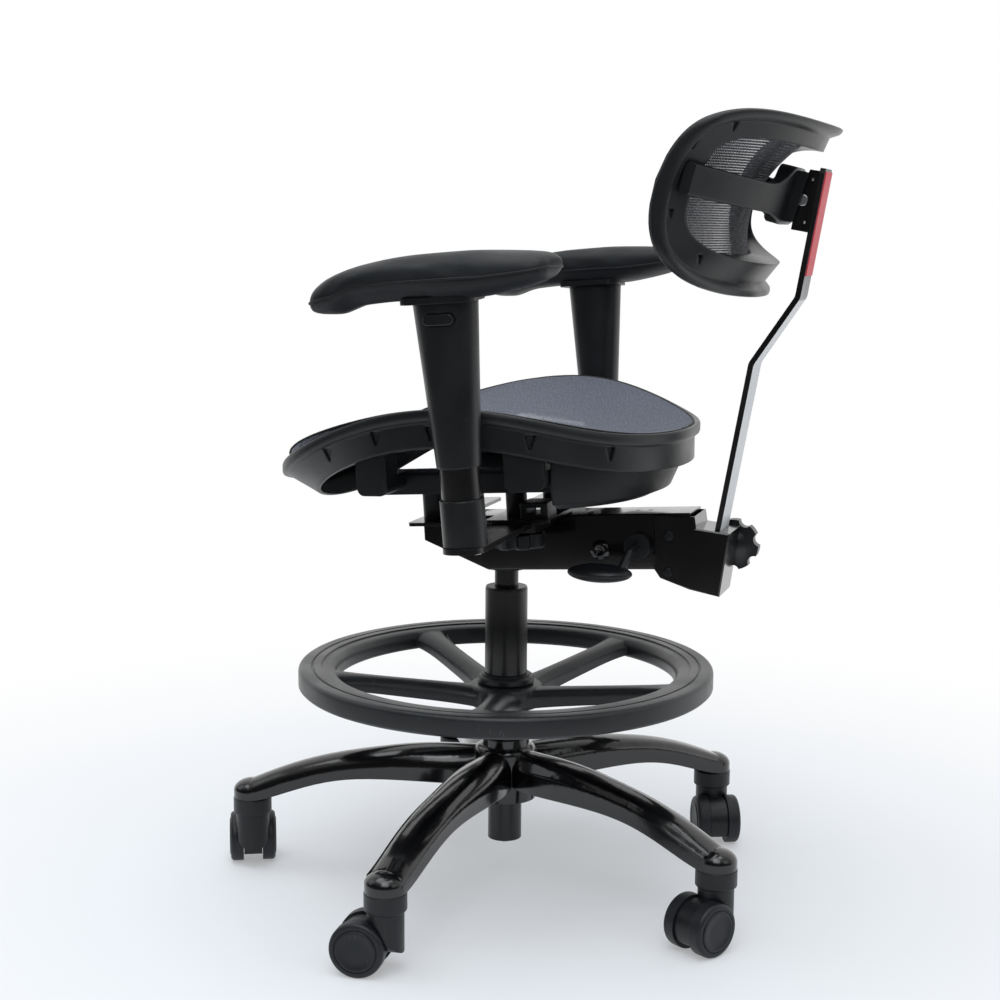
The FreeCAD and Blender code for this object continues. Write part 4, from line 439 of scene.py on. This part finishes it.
def disc_grid(rim, surface, count):
    """Square grid drawn out to a round rim and laid on a surface, as rows of points."""
    rows = []
    for i in range(count):
        u = -1 + 2 * i / (count - 1)
        row = []
        for j in range(count):
            v = -1 + 2 * j / (count - 1)
            x, y = u * math.sqrt(1 - v * v / 2), v * math.sqrt(1 - u * u / 2)
            across, along = rim(math.atan2(y, x))
            reach = math.hypot(x, y)
            row.append(surface(across * reach, along * reach))
        rows.append(row)
    return rows


def fill_grid(shape, rows):
    corners = [[shape.verts.new(point) for point in row] for row in rows]
    for i in range(len(rows) - 1):
        for j in range(len(rows) - 1):
            shape.faces.new((corners[i][j], corners[i + 1][j], corners[i + 1][j + 1], corners[i][j + 1]))


def border(rows):
    """Points round the edge of a grid, in order."""
    last = len(rows) - 1
    walk = [(k, 0) for k in range(last)] + [(last, k) for k in range(last)]
    walk += [(last - k, last) for k in range(last)] + [(0, last - k) for k in range(last)]
    return [rows[i][j] for i, j in walk]


def mirrored(mesh, way):
    """Copy of a mesh for the left side, or turned over for the right."""
    copy = mesh.copy()
    if way < 0:
        copy.transform(Matrix.Scale(-1, 4, Vector((1, 0, 0))))
        copy.flip_normals()
    copy.shade_smooth()
    return copy


def fill_welt(shape, points, radius, sides=8):
    """Closed cord of round section along points."""
    count = len(points)
    rings = []
    for k, point in enumerate(points):
        ahead = (points[(k + 1) % count] - points[k - 1]).normalized()
        out = ahead.cross(Vector((0, 0, 1))).normalized()
        up = out.cross(ahead)
        rings.append([shape.verts.new(point + radius * (math.cos(t) * out + math.sin(t) * up))
                      for t in (2 * math.pi * s / sides for s in range(sides))])
    for k in range(count):
        near, far = rings[k], rings[(k + 1) % count]
        for s in range(sides):
            shape.faces.new((near[s], near[(s + 1) % sides], far[(s + 1) % sides], far[s]))


def fill_lathe(shape, profile, place, sides=48):
    """Solid turned about its own Z from (radius, height) points, set at a place."""
    rings = []
    for radius, height in profile:
        if radius == 0:
            rings.append([shape.verts.new(place @ Vector((0, 0, height)))])
        else:
            turns = (2 * math.pi * s / sides for s in range(sides))
            points = [Vector((radius * math.cos(t), radius * math.sin(t), height)) for t in turns]
            rings.append([shape.verts.new(place @ point) for point in points])
    for near, far in zip(rings, rings[1:]):
        for s in range(sides):
            ring = [near[s % len(near)], near[(s + 1) % len(near)],
                    far[(s + 1) % len(far)], far[s % len(far)]]
            shape.faces.new(list(dict.fromkeys(ring)))


def facing(point, normal, up=Vector((0, 0, 1))):
    """Place whose Z is the normal and whose Y leans to up."""
    z = normal.normalized()
    x = up.cross(z).normalized()
    y = z.cross(x)
    turn = Matrix((x, y, z)).transposed().to_4x4()
    return Matrix.Translation(point) @ turn


def fill_notch(shape, place, width, height, depth):
    """Wedge that cuts a screw notch: wide at its top, pointed at its foot."""
    half, point = width / 2, width * 0.12
    plan = [(-half, height / 2), (half, height / 2), (point, -height / 2), (-point, -height / 2)]
    rings = [[shape.verts.new(place @ Vector((x, y, z))) for x, y in plan] for z in (-depth, depth)]
    shape.faces.new(rings[0])
    shape.faces.new(rings[1])
    for k in range(4):
        shape.faces.new((rings[0][k], rings[0][k - 1], rings[1][k - 1], rings[1][k]))


def cut_notches(name, body, notches, width, height, depth):
    """Cuts screw notches into a CAD node's shown shape, and the same on its other side."""
    surface = ray_tree(name)

    def fill(shape):
        for point, normal in notches:
            for side in (1, -1):
                turn = Vector((side, 1, 1))
                seat = surface.find_nearest(Vector(point) * turn)[0]
                fill_notch(shape, facing(seat, Vector(normal) * turn), width, height, depth)
    cutter = bpy.data.objects.new(name + "_notches", mesh_of(name + "_notches", fill))
    bpy.context.scene.collection.objects.link(cutter)
    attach(cutter, body)
    cutter.hide_render = True
    cutter.display_type = "WIRE"
    cutting = NODES[name].modifiers.new("notches", "BOOLEAN")
    cutting.operation = "DIFFERENCE"
    cutting.solver = "EXACT"
    cutting.object = cutter
    NODES[name].modifiers.move(len(NODES[name].modifiers) - 1, 1)


def fabric(name, node, rim, surface, count, material, body, hem_material):
    """Stretched net with a welt round it, in place of the CAD sheet."""
    sizes = chair()[1]
    rows = disc_grid(rim, surface, count)
    net = new_piece(name, mesh_of(name, lambda shape: fill_grid(shape, rows)), material, body)
    skin = net.modifiers.new("thickness", "SOLIDIFY")
    skin.thickness = sizes.net_thickness
    skin.offset = 0
    edge = border(rows)
    welt = mesh_of(name + "_welt", lambda shape: fill_welt(shape, edge, sizes.hem_radius))
    hem = new_piece(name + "_welt", welt, hem_material, body)
    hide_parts(node)


def superellipse(turn, half_across, half_along, exponent):
    def power(value):
        return math.copysign(abs(value) ** (2 / exponent), value)
    return half_across * power(math.cos(turn)), half_along * power(math.sin(turn))


def eased(stations, column, share):
    """Value at a share of the way through stations, on a curve that never passes them."""
    xs = [station[0] for station in stations]
    ys = [station[column] for station in stations]
    slopes = [(b - a) / (q - p) for a, b, p, q in zip(ys, ys[1:], xs, xs[1:])]
    inner = [2 * a * b / (a + b) if a * b > 0 else 0.0 for a, b in zip(slopes, slopes[1:])]
    bends = [slopes[0], *inner, slopes[-1]]
    k = max(index for index in range(len(xs) - 1) if xs[index] <= share)
    span = xs[k + 1] - xs[k]
    t = (share - xs[k]) / span
    start, end = t * t * (2 * t - 3) + 1, t * t * (3 - 2 * t)
    lead, tail = t * (1 - t) ** 2, t * t * (t - 1)
    return start * ys[k] + end * ys[k + 1] + span * (lead * bends[k] + tail * bends[k + 1])


def swell(piece, cap, pressure=4.0, frames=20):
    """Blows a closed skin up a little with a cloth simulation and keeps the result."""
    scene = bpy.context.scene
    rest = [v.co.copy() for v in piece.data.vertices]
    cloth = piece.modifiers.new("swell", "CLOTH")
    cloth.settings.use_pressure = True
    cloth.settings.uniform_pressure_force = pressure
    cloth.settings.effector_weights.gravity = 0
    cloth.settings.quality = 5
    cloth.point_cache.frame_start = 1
    cloth.point_cache.frame_end = frames
    for step in range(1, frames + 1):
        scene.frame_set(step)
    shown = piece.evaluated_get(bpy.context.evaluated_depsgraph_get())
    moved = [v.co.copy() for v in shown.data.vertices]
    piece.modifiers.remove(cloth)
    scene.frame_set(1)
    for vertex, old, new in zip(piece.data.vertices, rest, moved):
        shift = new - old
        vertex.co = old + shift * min(1.0, cap / max(shift.length, 1e-9))


def even_out(mesh, rounds):
    """Draws each point towards its neighbours, and out again, so that ripples fade but the size stays."""
    shape = bmesh.new()
    shape.from_mesh(mesh)
    for _ in range(rounds):
        for factor in (0.5, -0.51):
            moved = []
            for vertex in shape.verts:
                near = [edge.other_vert(vertex).co for edge in vertex.link_edges]
                middle = sum(near, Vector()) / len(near)
                moved.append(vertex.co.lerp(middle, factor))
            for vertex, place in zip(shape.verts, moved):
                vertex.co = place
    shape.to_mesh(mesh)
    shape.free()


# Operators


class ChairOperator:
    bl_options = {"REGISTER", "UNDO"}

    def execute(self, context):
        self.make(*chair())
        return {"FINISHED"}


class CHAIR_OT_base(ChairOperator, bpy.types.Operator):
    """Finish the base, its collars and the gas column"""
    bl_idname = "chair.base"
    bl_label = "Base and column"

    def make(self, colours, sizes):
        dress("star_base", enamel(colours), crease=40)
        dress(["leg_end_collars", "guide_bush"], matt_plastic(colours))
        dress(["stand_tube", "gas_cylinder"], satin_enamel(colours))
        dress("piston_rod", bright_steel(colours))


class CHAIR_OT_casters(ChairOperator, bpy.types.Operator):
    """Finish the casters and add the caps of their wheels"""
    bl_idname = "chair.casters"
    bl_label = "Casters"

    def make(self, colours, sizes):
        rubber = hard_finish("wheel_plastic", colours.wheel, 0.46, grain=1400.0, depth=0.03, wear=0.25,
                             scuffs=0.5, specular=0.38)
        dress([f"caster_fork_{k}" for k in CASTERS], matt_plastic(colours))
        dress([f"caster_wheels_{k}" for k in CASTERS], rubber)
        axles = {joint["child"]: joint for joint in frame["joints"]}
        for k in CASTERS:
            axle = axles[f"wheels_{k}"]
            centre, axis = Vector(axle["pos_m"]), Vector(axle["axis"])
            self.caps(f"wheel_caps_{k}", f"wheels_{k}", centre, axis, sizes.cap_proud, rubber)

    def caps(self, name, body, centre, axis, proud, material):
        """Two shallow caps on the outer faces of a pair of wheels."""
        spread = [v.co - centre for v in NODES[f"caster_{body}"].data.vertices]
        half = max(abs(point.dot(axis)) for point in spread)
        radius = max((point - axis * point.dot(axis)).length for point in spread)
        profile = [(radius * share, proud * rise) for share, rise in (
            (0.75, -0.5), (0.75, 0.3), (0.72, 0.8), (0.65, 1), (0.62, 0.4), (0.33, 0.55), (0, 0.6))]

        def fill(shape):
            for side in (-1, 1):
                fill_lathe(shape, profile, facing(centre + axis * side * half, axis * side))
        new_piece(name, mesh_of(name, fill), material, body)


class CHAIR_OT_foot_ring(ChairOperator, bpy.types.Operator):
    """Finish the foot ring and its lock collar"""
    bl_idname = "chair.foot_ring"
    bl_label = "Foot ring"

    def make(self, colours, sizes):
        dress("foot_ring", hard_finish("ring_plastic", colours.ring, 0.36, grain=1100.0, depth=0.025,
                                       wear=0.3, scuffs=0.8, edge=0.003))
        dress("foot_ring_collar", matt_plastic(colours))


class CHAIR_OT_mechanism(ChairOperator, bpy.types.Operator):
    """Finish the beam, plates, housing, knobs and lever, and add a bolt head"""
    bl_idname = "chair.mechanism"
    bl_label = "Mechanism"

    # Place of the bolt head on the side of the beam.
    bolt_along = 0.121
    bolt_up = 0.413

    def make(self, colours, sizes):
        gloss = hard_finish("beam_enamel", colours.enamel, 0.17, grain=300.0, depth=0.005, wear=0.5,
                            scuffs=0.2, coat=0.4)
        dress(["main_beam", "back_housing", "cross_plate", "front_plate"], gloss)
        dress(["taper_socket", "arm_guides"], satin_enamel(colours))
        dress(["seat_posts", "clamp_boxes", "height_lever"], matt_plastic(colours))
        knobs = ["back_clamp_knob", "arm_clamp_knob_left", "arm_clamp_knob_right"]
        dress(knobs, knob_plastic(colours))
        black_steel = hard_finish("blackened_steel", colours.plastic, 0.35, metallic=0.4)
        dress(["seat_bolts", "housing_rivets"], black_steel)
        self.bolt(sizes.bolt_radius, gloss)

    def bolt(self, radius, material):
        """Round bolt head on the side of the beam, ahead of the lever, with a hollow in its middle."""
        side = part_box("main_beam")[1].x
        face = facing(Vector((side, self.bolt_along, self.bolt_up)), Vector((1, 0, 0)))
        profile = [(radius * share, radius * rise) for share, rise in (
            (1, -0.04), (1, 0.19), (0.91, 0.31), (0.65, 0.43), (0.39, 0.45), (0.31, 0.23), (0, 0.19))]
        mesh = mesh_of("beam_bolt", lambda shape: fill_lathe(shape, profile, face))
        new_piece("beam_bolt", mesh, material, "seat")


class CHAIR_OT_seat(ChairOperator, bpy.types.Operator):
    """Finish the rim and tray of the seat and stretch its fabric"""
    bl_idname = "chair.seat"
    bl_label = "Seat"

    # Outline of the net: two half superellipses that meet where the seat is widest.
    widest = 0.012
    front_squareness = 3.25
    rear_squareness = 2.0
    # Off the edge of the CAD net, the height is taken this much nearer the middle.
    inset = 0.985
    # Screw notches along the left of the skirt: a point on it and the way it faces.
    notches = [
        ((0.2180, -0.1314, 0.5325), (0.93, -0.19, -0.32)),
        ((0.2329, -0.0709, 0.5541), (1.0, -0.08, -0.05)),
        ((0.2357, -0.0082, 0.5623), (1.0, -0.01, 0.0)),
        ((0.2155, 0.0945, 0.5553), (0.90, 0.44, 0.0)),
        ((0.1552, 0.1651, 0.5400), (0.61, 0.79, 0.0)),
    ]

    def make(self, colours, sizes):
        shell = hard_finish("rim_plastic", colours.shell, 0.36, grain=1200.0, depth=0.025, wear=0.15,
                            scuffs=0.15, edge=0.004)
        dress("seat_frame", shell)
        dress("seat_bucket", hard_finish("bucket_plastic", colours.plastic, 0.42, grain=1200.0, depth=0.025,
                                         wear=0.1, scuffs=0.1, edge=0.004, specular=0.22))
        dress("seat_carrier", matt_plastic(colours))
        cut_notches("seat_frame", "seat", self.notches, width=0.012, height=0.015, depth=0.0032)
        self.stretch(colours, sizes)

    def stretch(self, colours, sizes):
        low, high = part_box("seat_mesh")
        widest = self.widest
        top = ray_tree("seat_mesh")

        def rim(turn):
            front = math.sin(turn) < 0
            reach = widest - low.y if front else high.y - widest
            return superellipse(turn, high.x, reach, self.front_squareness if front else self.rear_squareness)

        def surface(across, along):
            point = Vector((across, along + widest, 1.0))
            hit = top.ray_cast(point, Vector((0, 0, -1)))[0]
            if hit is None:
                near = top.find_nearest(Vector((across, along + widest, high.z)))[0]
                start = Vector((near.x * self.inset, near.y * self.inset, 1.0))
                below = top.ray_cast(start, Vector((0, 0, -1)))[0]
                hit = Vector((across, along + widest, (below or near).z))
            return hit
        net = net_finish("seat_net", colours.seat_net, sizes.seat_pitch, "Y", 1.5)
        hem = hard_finish("seat_welt", colours.plastic, 0.7, grain=2500.0, depth=0.05, wear=0.0)
        fabric("seat_net", "seat_mesh", rim, surface, GRID, net, "seat",
               hem_material=hem)


class CHAIR_OT_arms(ChairOperator, bpy.types.Operator):
    """Finish the arms and upholster their pads"""
    bl_idname = "chair.arms"
    bl_label = "Arms"

    # Pad: lean of its base, its origin from the middle of its bracket, reaches, half width and height.
    tilt = math.radians(4)
    lean = math.radians(3.4)
    from_bracket = Vector((0, 0.003, 0.0045))
    front = 0.139
    rear = 0.117
    half = 0.0455
    height = 0.036
    fullness = 2.5
    # Along the pad from its front: share of the length, then foot, crown and width as shares.
    along = [
        (0, -0.32, 0.10, 0.46),
        (0.02, -0.40, 0.32, 0.66),
        (0.10, -0.32, 0.64, 0.88),
        (0.22, -0.06, 0.85, 0.98),
        (0.38, 0.0, 0.96, 1.0),
        (0.72, 0.0, 1.0, 1.0),
        (0.90, 0.10, 0.98, 0.95),
        (0.98, 0.26, 0.92, 0.82),
        (1, 0.38, 0.82, 0.66),
    ]
    sections = 61
    sides = 48
    smoothing_rounds = 14

    def make(self, colours, sizes):
        for side, _ in SIDES:
            dress(f"arm_bar_{side}", satin_enamel(colours))
            dress([f"arm_socket_{side}", f"pad_bracket_{side}"], matt_plastic(colours))
            dress(f"arm_button_{side}", knob_plastic(colours))
            dress(f"arm_tube_{side}", satin_enamel(colours))
            dress(f"arm_sleeve_{side}", hard_finish("sleeve_plastic", colours.plastic, 0.34, grain=1400.0,
                                                    depth=0.015, wear=0.15, scuffs=0.1, edge=0.003))
            dress(f"arm_screws_{side}", bright_steel(colours))
        skin = hard_finish("pad_skin", colours.pad, 0.5, grain=700.0, depth=0.04, wear=0.0, scuffs=0.05,
                           specular=0.2)
        left = self.pad(sizes)
        seam = self.seam(left)
        cord = mesh_of("arm_piping", lambda shape: fill_welt(shape, seam, sizes.piping_radius))
        for side, way in SIDES:
            body = f"arm_top_{side}"
            cushion = new_piece(f"arm_cushion_{side}", mirrored(left, way), skin, body)
            cushion.modifiers.new("rounding", "SUBSURF").render_levels = 1
            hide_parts(f"arm_pad_{side}")
            new_piece(f"arm_piping_{side}", mirrored(cord, way), skin, body)

    def seam(self, mesh, count=60, level=0.42, half_slice=0.006):
        """Points round the side of a pad, at a level between its base and its crown."""
        tree = tree_of(mesh)
        ys = [v.co.y for v in mesh.vertices]
        near, far = min(ys), max(ys)
        sides = ([], [])
        for k in range(1, count):
            y = near + (far - near) * (1 - math.cos(math.pi * k / count)) / 2
            band = [v.co for v in mesh.vertices if abs(v.co.y - y) < half_slice]
            middle = (min(p.x for p in band) + max(p.x for p in band)) / 2
            top = tree.ray_cast(Vector((middle, y, 2.0)), Vector((0, 0, -1)))[0]
            foot = tree.ray_cast(Vector((middle, y, 0.0)), Vector((0, 0, 1)))[0]
            for points, way in zip(sides, (1, -1)):
                start = Vector((middle + way, y, foot.z + (top.z - foot.z) * level))
                points.append(tree.ray_cast(start, Vector((-way, 0, 0)))[0])
        return sides[0] + sides[1][::-1]

    def form(self, shape):
        """Left pad before it swells: sections along it, seated on its bracket."""
        low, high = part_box("pad_bracket_left")
        lean = Matrix.Rotation(self.tilt, 4, "X") @ Matrix.Rotation(self.lean, 4, "Y")
        place = Matrix.Translation((low + high) / 2) @ lean @ Matrix.Translation(self.from_bracket)
        rings = []
        for k in range(self.sections):
            share = (1 - math.cos(math.pi * k / (self.sections - 1))) / 2
            foot, crown, width = (eased(self.along, column, share) for column in (1, 2, 3))
            middle, rise = (crown + foot) / 2 * self.height, (crown - foot) / 2 * self.height
            y = -self.front + (self.front + self.rear) * share
            ring = []
            for step in range(self.sides):
                turn = 2 * math.pi * step / self.sides
                across, up = superellipse(turn, width * self.half, rise, self.fullness)
                ring.append(shape.verts.new(place @ Vector((across, y, middle + up))))
            rings.append(ring)
        for near, far in zip(rings, rings[1:]):
            for s in range(self.sides):
                shape.faces.new((near[s - 1], near[s], far[s], far[s - 1]))
        shape.faces.new(rings[0])
        shape.faces.new(rings[-1])

    def pad(self, sizes):
        """Mesh of the left pad: its form remeshed and swollen."""
        piece = bpy.data.objects.new("arm_pad_form", mesh_of("arm_pad_form", self.form))
        bpy.context.scene.collection.objects.link(piece)
        remesh = piece.modifiers.new("cells", "REMESH")
        remesh.mode = "VOXEL"
        remesh.voxel_size = sizes.pad_voxel
        cells = bpy.data.meshes.new_from_object(piece.evaluated_get(bpy.context.evaluated_depsgraph_get()))
        piece.modifiers.clear()
        piece.data = cells
        swell(piece, sizes.pad_swell)
        bpy.data.objects.remove(piece)
        even_out(cells, self.smoothing_rounds)
        return cells


class CHAIR_OT_back(ChairOperator, bpy.types.Operator):
    """Finish the back, its bar and bracket, and stretch its fabric"""
    bl_idname = "chair.back"
    bl_label = "Back"

    # Middle of the back and its lean from upright, as in the CAD.
    middle = Vector((0, 0.3005, 0.8016))
    lean = math.radians(-15.3)
    # Outline of the net: a superellipse.
    half_across = 0.2076
    half_up = 0.0927
    squareness = 5.7
    inset = 0.98
    # Screw notches on the left of the band, as on the skirt.
    notches = [
        ((0.1781, 0.2934, 0.8752), (0.50, 0.59, -0.63)),
        ((0.1997, 0.2582, 0.8560), (0.54, 0.68, -0.51)),
        ((0.1958, 0.2346, 0.7897), (0.54, 0.83, -0.13)),
        ((0.1625, 0.2582, 0.7441), (0.52, 0.85, -0.05)),
    ]

    def make(self, colours, sizes):
        shell = hard_finish("back_rim_plastic", colours.shell, 0.36, grain=1300.0, depth=0.02, wear=0.15,
                            scuffs=0.1, edge=0.004, specular=0.4)
        dress("back_frame", shell)
        dress("back_yoke", matt_plastic(colours))
        dress("back_bar", bar_enamel_and_painted_reflection(colours))
        dress("bar_strip", hard_finish("strip_film", colours.strip, 0.4, grain=900.0, depth=0.01, wear=0.2,
                                       scuffs=0.1, cloud=0.1, specular=0.15))
        dress("back_bracket", satin_enamel(colours))
        dress(["bracket_screws", "pivot_pin"], bright_steel(colours))
        cut_notches("back_frame", "backrest", self.notches, width=0.007, height=0.010, depth=0.003)
        self.stretch(colours, sizes)

    def stretch(self, colours, sizes):
        place = Matrix.Translation(self.middle) @ Matrix.Rotation(self.lean, 4, "X")
        front = ray_tree("back_mesh")
        ahead = place.to_3x3() @ Vector((0, 1, 0))

        def rim(turn):
            return superellipse(turn, self.half_across, self.half_up, self.squareness)

        def surface(across, up):
            hit = front.ray_cast(place @ Vector((across, -0.5, up)), ahead)[0]
            if hit is None:
                start = place @ Vector((across * self.inset, -0.5, up * self.inset))
                near = front.ray_cast(start, ahead)[0]
                depth = (place.inverted() @ near).y
                hit = place @ Vector((across, depth, up))
            return hit
        net = net_finish("back_net", colours.back_net, sizes.back_pitch, "Z", 3.0)
        hem = hard_finish("back_welt", colours.plastic, 0.7, grain=2500.0, depth=0.05, wear=0.0)
        fabric("back_net", "back_mesh", rim, surface, GRID, net, "backrest",
               hem_material=hem)


class CHAIR_OT_stage(ChairOperator, bpy.types.Operator):
    """Set the floor, the lights and the camera"""
    bl_idname = "chair.stage"
    bl_label = "Stage"

    # Floor, and the distances between which its painted glow rises from a share of 0.3 to full white.
    floor_radius = 1.5
    glow_start = 0.2
    glow_end = 1.35
    # Strength of the light from all round, and of what gloss sees away from the backdrop.
    ambient = 0.62
    dark_side = 0.06
    sky_colour = (0.95, 0.97, 1.0, 1.0)
    lamp_colour = (0.93, 0.97, 1.0)
    # Camera: lens and sensor in millimetres, shift as a share of the width, downward pitch.
    lens = 64.09
    sensor = 36.0
    shift = -0.00726
    place = Vector((1.9591, 0.6388, 0.773))
    pitch = math.radians(8.635)
    roll = math.radians(0.465)

    def make(self, colours, sizes):
        self.floor(colours)
        self.world()
        self.lamp("overhead", (0.3, -0.2, 3.0), (0, 0, 0.4), 2.6, 46)
        self.lamp("near", (2.3, 0.7, 2.9), (0, 0, 0.3), 2.0, 34)
        self.lamp("front", (0.6, -2.8, 2.0), (0, 0, 0.5), 1.8, 9)
        self.lamp("rear", (0.9, 2.8, 1.9), (0, 0, 0.6), 1.8, 9)
        self.shot()
        bpy.context.scene.view_settings.view_transform = "Standard"

    def floor(self, colours):
        """Pale round floor with a painted glow: a share of it even at the middle, which lightens the chair's
        shadow, rising to full white where it meets the white behind it.
        """
        def fill(shape):
            bmesh.ops.create_circle(shape, cap_ends=True, segments=96, radius=self.floor_radius)

        mesh = mesh_of("floor", fill)
        ground = bpy.data.objects.new("floor", mesh)
        bpy.context.scene.collection.objects.link(ground)
        material, tree, shader = new_material("floor_paint_and_glow")
        place = add(tree, "ShaderNodeTexCoord").outputs["Object"]
        away = add(tree, "ShaderNodeVectorMath", {0: place}, operation="LENGTH").outputs["Value"]
        cloud = noise(tree, place, 1.5, 2.0)
        tone = mix_colour(tree, cloud, shade(colours.floor, 0.97), shade(colours.floor, 1.03))
        link(tree, shader, "Base Color", tone)
        shader.inputs["Roughness"].default_value = 0.6
        shader.inputs["Specular IOR Level"].default_value = 0.2
        # Painted light: for camera, gloss and glass rays the floor mixes in a white glow, a share of 0.3
        # under the chair that lifts its shadow, rising to full white at the edge.
        glow = add(tree, "ShaderNodeEmission", {"Color": (1, 1, 1, 1), "Strength": 1.0})
        seen = seen_by_camera(tree)
        fade = calc(tree, "MULTIPLY", ramp(tree, away, self.glow_start, self.glow_end, 0.3, 1.0), seen)
        mixed = add(tree, "ShaderNodeMixShader", {0: fade, 1: shader.outputs[0], 2: glow.outputs[0]})
        tree.links.new(mixed.outputs[0], tree.nodes["Material Output"].inputs["Surface"])
        mesh.materials.append(material)

    def world(self):
        world = bpy.data.worlds.new("studio")
        bpy.context.scene.world = world
        world.use_nodes = True
        tree = world.node_tree
        soft = tree.nodes["Background"]
        soft.inputs["Color"].default_value = self.sky_colour
        soft.inputs["Strength"].default_value = self.ambient
        white = add(tree, "ShaderNodeBackground", {"Color": (1, 1, 1, 1), "Strength": 1.0})
        dim = add(tree, "ShaderNodeBackground", {"Color": (1, 1, 1, 1), "Strength": self.dark_side})
        around = add(tree, "ShaderNodeTexCoord").outputs["Generated"]
        way = add(tree, "ShaderNodeSeparateXYZ", {0: around}).outputs
        beside, above = ramp(tree, way["X"], 0.1, -0.5), ramp(tree, way["Z"], 0.55, 0.9, 0.0, 0.6)
        backdrop = calc(tree, "MAXIMUM", beside, above)
        gloss = add(tree, "ShaderNodeMixShader", {0: backdrop, 1: dim.outputs[0], 2: white.outputs[0]})
        path = add(tree, "ShaderNodeLightPath").outputs
        reflected = calc(tree, "MAXIMUM", path["Is Glossy Ray"], path["Is Transmission Ray"])
        unseen = add(tree, "ShaderNodeMixShader", {0: reflected, 1: soft.outputs[0], 2: gloss.outputs[0]})
        sides = {0: path["Is Camera Ray"], 1: unseen.outputs[0], 2: white.outputs[0]}
        mixed = add(tree, "ShaderNodeMixShader", sides)
        tree.links.new(mixed.outputs[0], tree.nodes["World Output"].inputs["Surface"])

    def lamp(self, name, place, target, size, power):
        data = bpy.data.lights.new(name, "AREA")
        data.shape = "SQUARE"
        data.size = size
        data.energy = power
        data.color = self.lamp_colour
        lamp = bpy.data.objects.new(name, data)
        bpy.context.scene.collection.objects.link(lamp)
        lamp.location = place
        lamp.rotation_mode = "QUATERNION"
        lamp.rotation_quaternion = (Vector(target) - Vector(place)).to_track_quat("-Z", "Y")

    def shot(self):
        """Camera as it stood for the photograph."""
        data = bpy.data.cameras.new("camera")
        data.lens = self.lens
        data.sensor_width = self.sensor
        data.shift_x = self.shift
        camera = bpy.data.objects.new("camera", data)
        bpy.context.scene.collection.objects.link(camera)
        level = Vector((-self.place.x, -self.place.y, 0)).normalized()
        look = level * math.cos(self.pitch) - Vector((0, 0, math.sin(self.pitch)))
        camera.location = self.place
        camera.rotation_mode = "QUATERNION"
        camera.rotation_quaternion = look.to_track_quat("-Z", "Y") @ Quaternion((0, 0, 1), self.roll)
        bpy.context.scene.camera = camera


OPERATORS = (CHAIR_OT_base, CHAIR_OT_casters, CHAIR_OT_foot_ring, CHAIR_OT_mechanism, CHAIR_OT_seat,
             CHAIR_OT_arms, CHAIR_OT_back, CHAIR_OT_stage)


class CHAIR_PT_panel(bpy.types.Panel):
    """Lists the steps that dress the chair"""
    bl_label = "Studio chair"
    bl_idname = "CHAIR_PT_panel"
    bl_space_type = "VIEW_3D"
    bl_region_type = "UI"
    bl_category = "Chair"

    def draw(self, context):
        for operator in OPERATORS:
            self.layout.operator(operator.bl_idname)
        for group in chair():
            for key in group.bl_rna.properties.keys():
                if key not in ("rna_type", "name"):
                    self.layout.prop(group, key)


CLASSES = (ChairColours, ChairSizes, *OPERATORS, CHAIR_PT_panel)


def register():
    for item in CLASSES:
        bpy.utils.register_class(item)
    bpy.types.Scene.studio_chair_colours = PointerProperty(type=ChairColours)
    bpy.types.Scene.studio_chair_sizes = PointerProperty(type=ChairSizes)


def unregister():
    del bpy.types.Scene.studio_chair_sizes
    del bpy.types.Scene.studio_chair_colours
    for item in reversed(CLASSES):
        bpy.utils.unregister_class(item)


def main():
    register()
    bpy.ops.chair.base()
    bpy.ops.chair.casters()
    bpy.ops.chair.foot_ring()
    bpy.ops.chair.mechanism()
    bpy.ops.chair.seat()
    bpy.ops.chair.arms()
    bpy.ops.chair.back()
    bpy.ops.chair.stage()


if __name__ == "__main__":
    main()
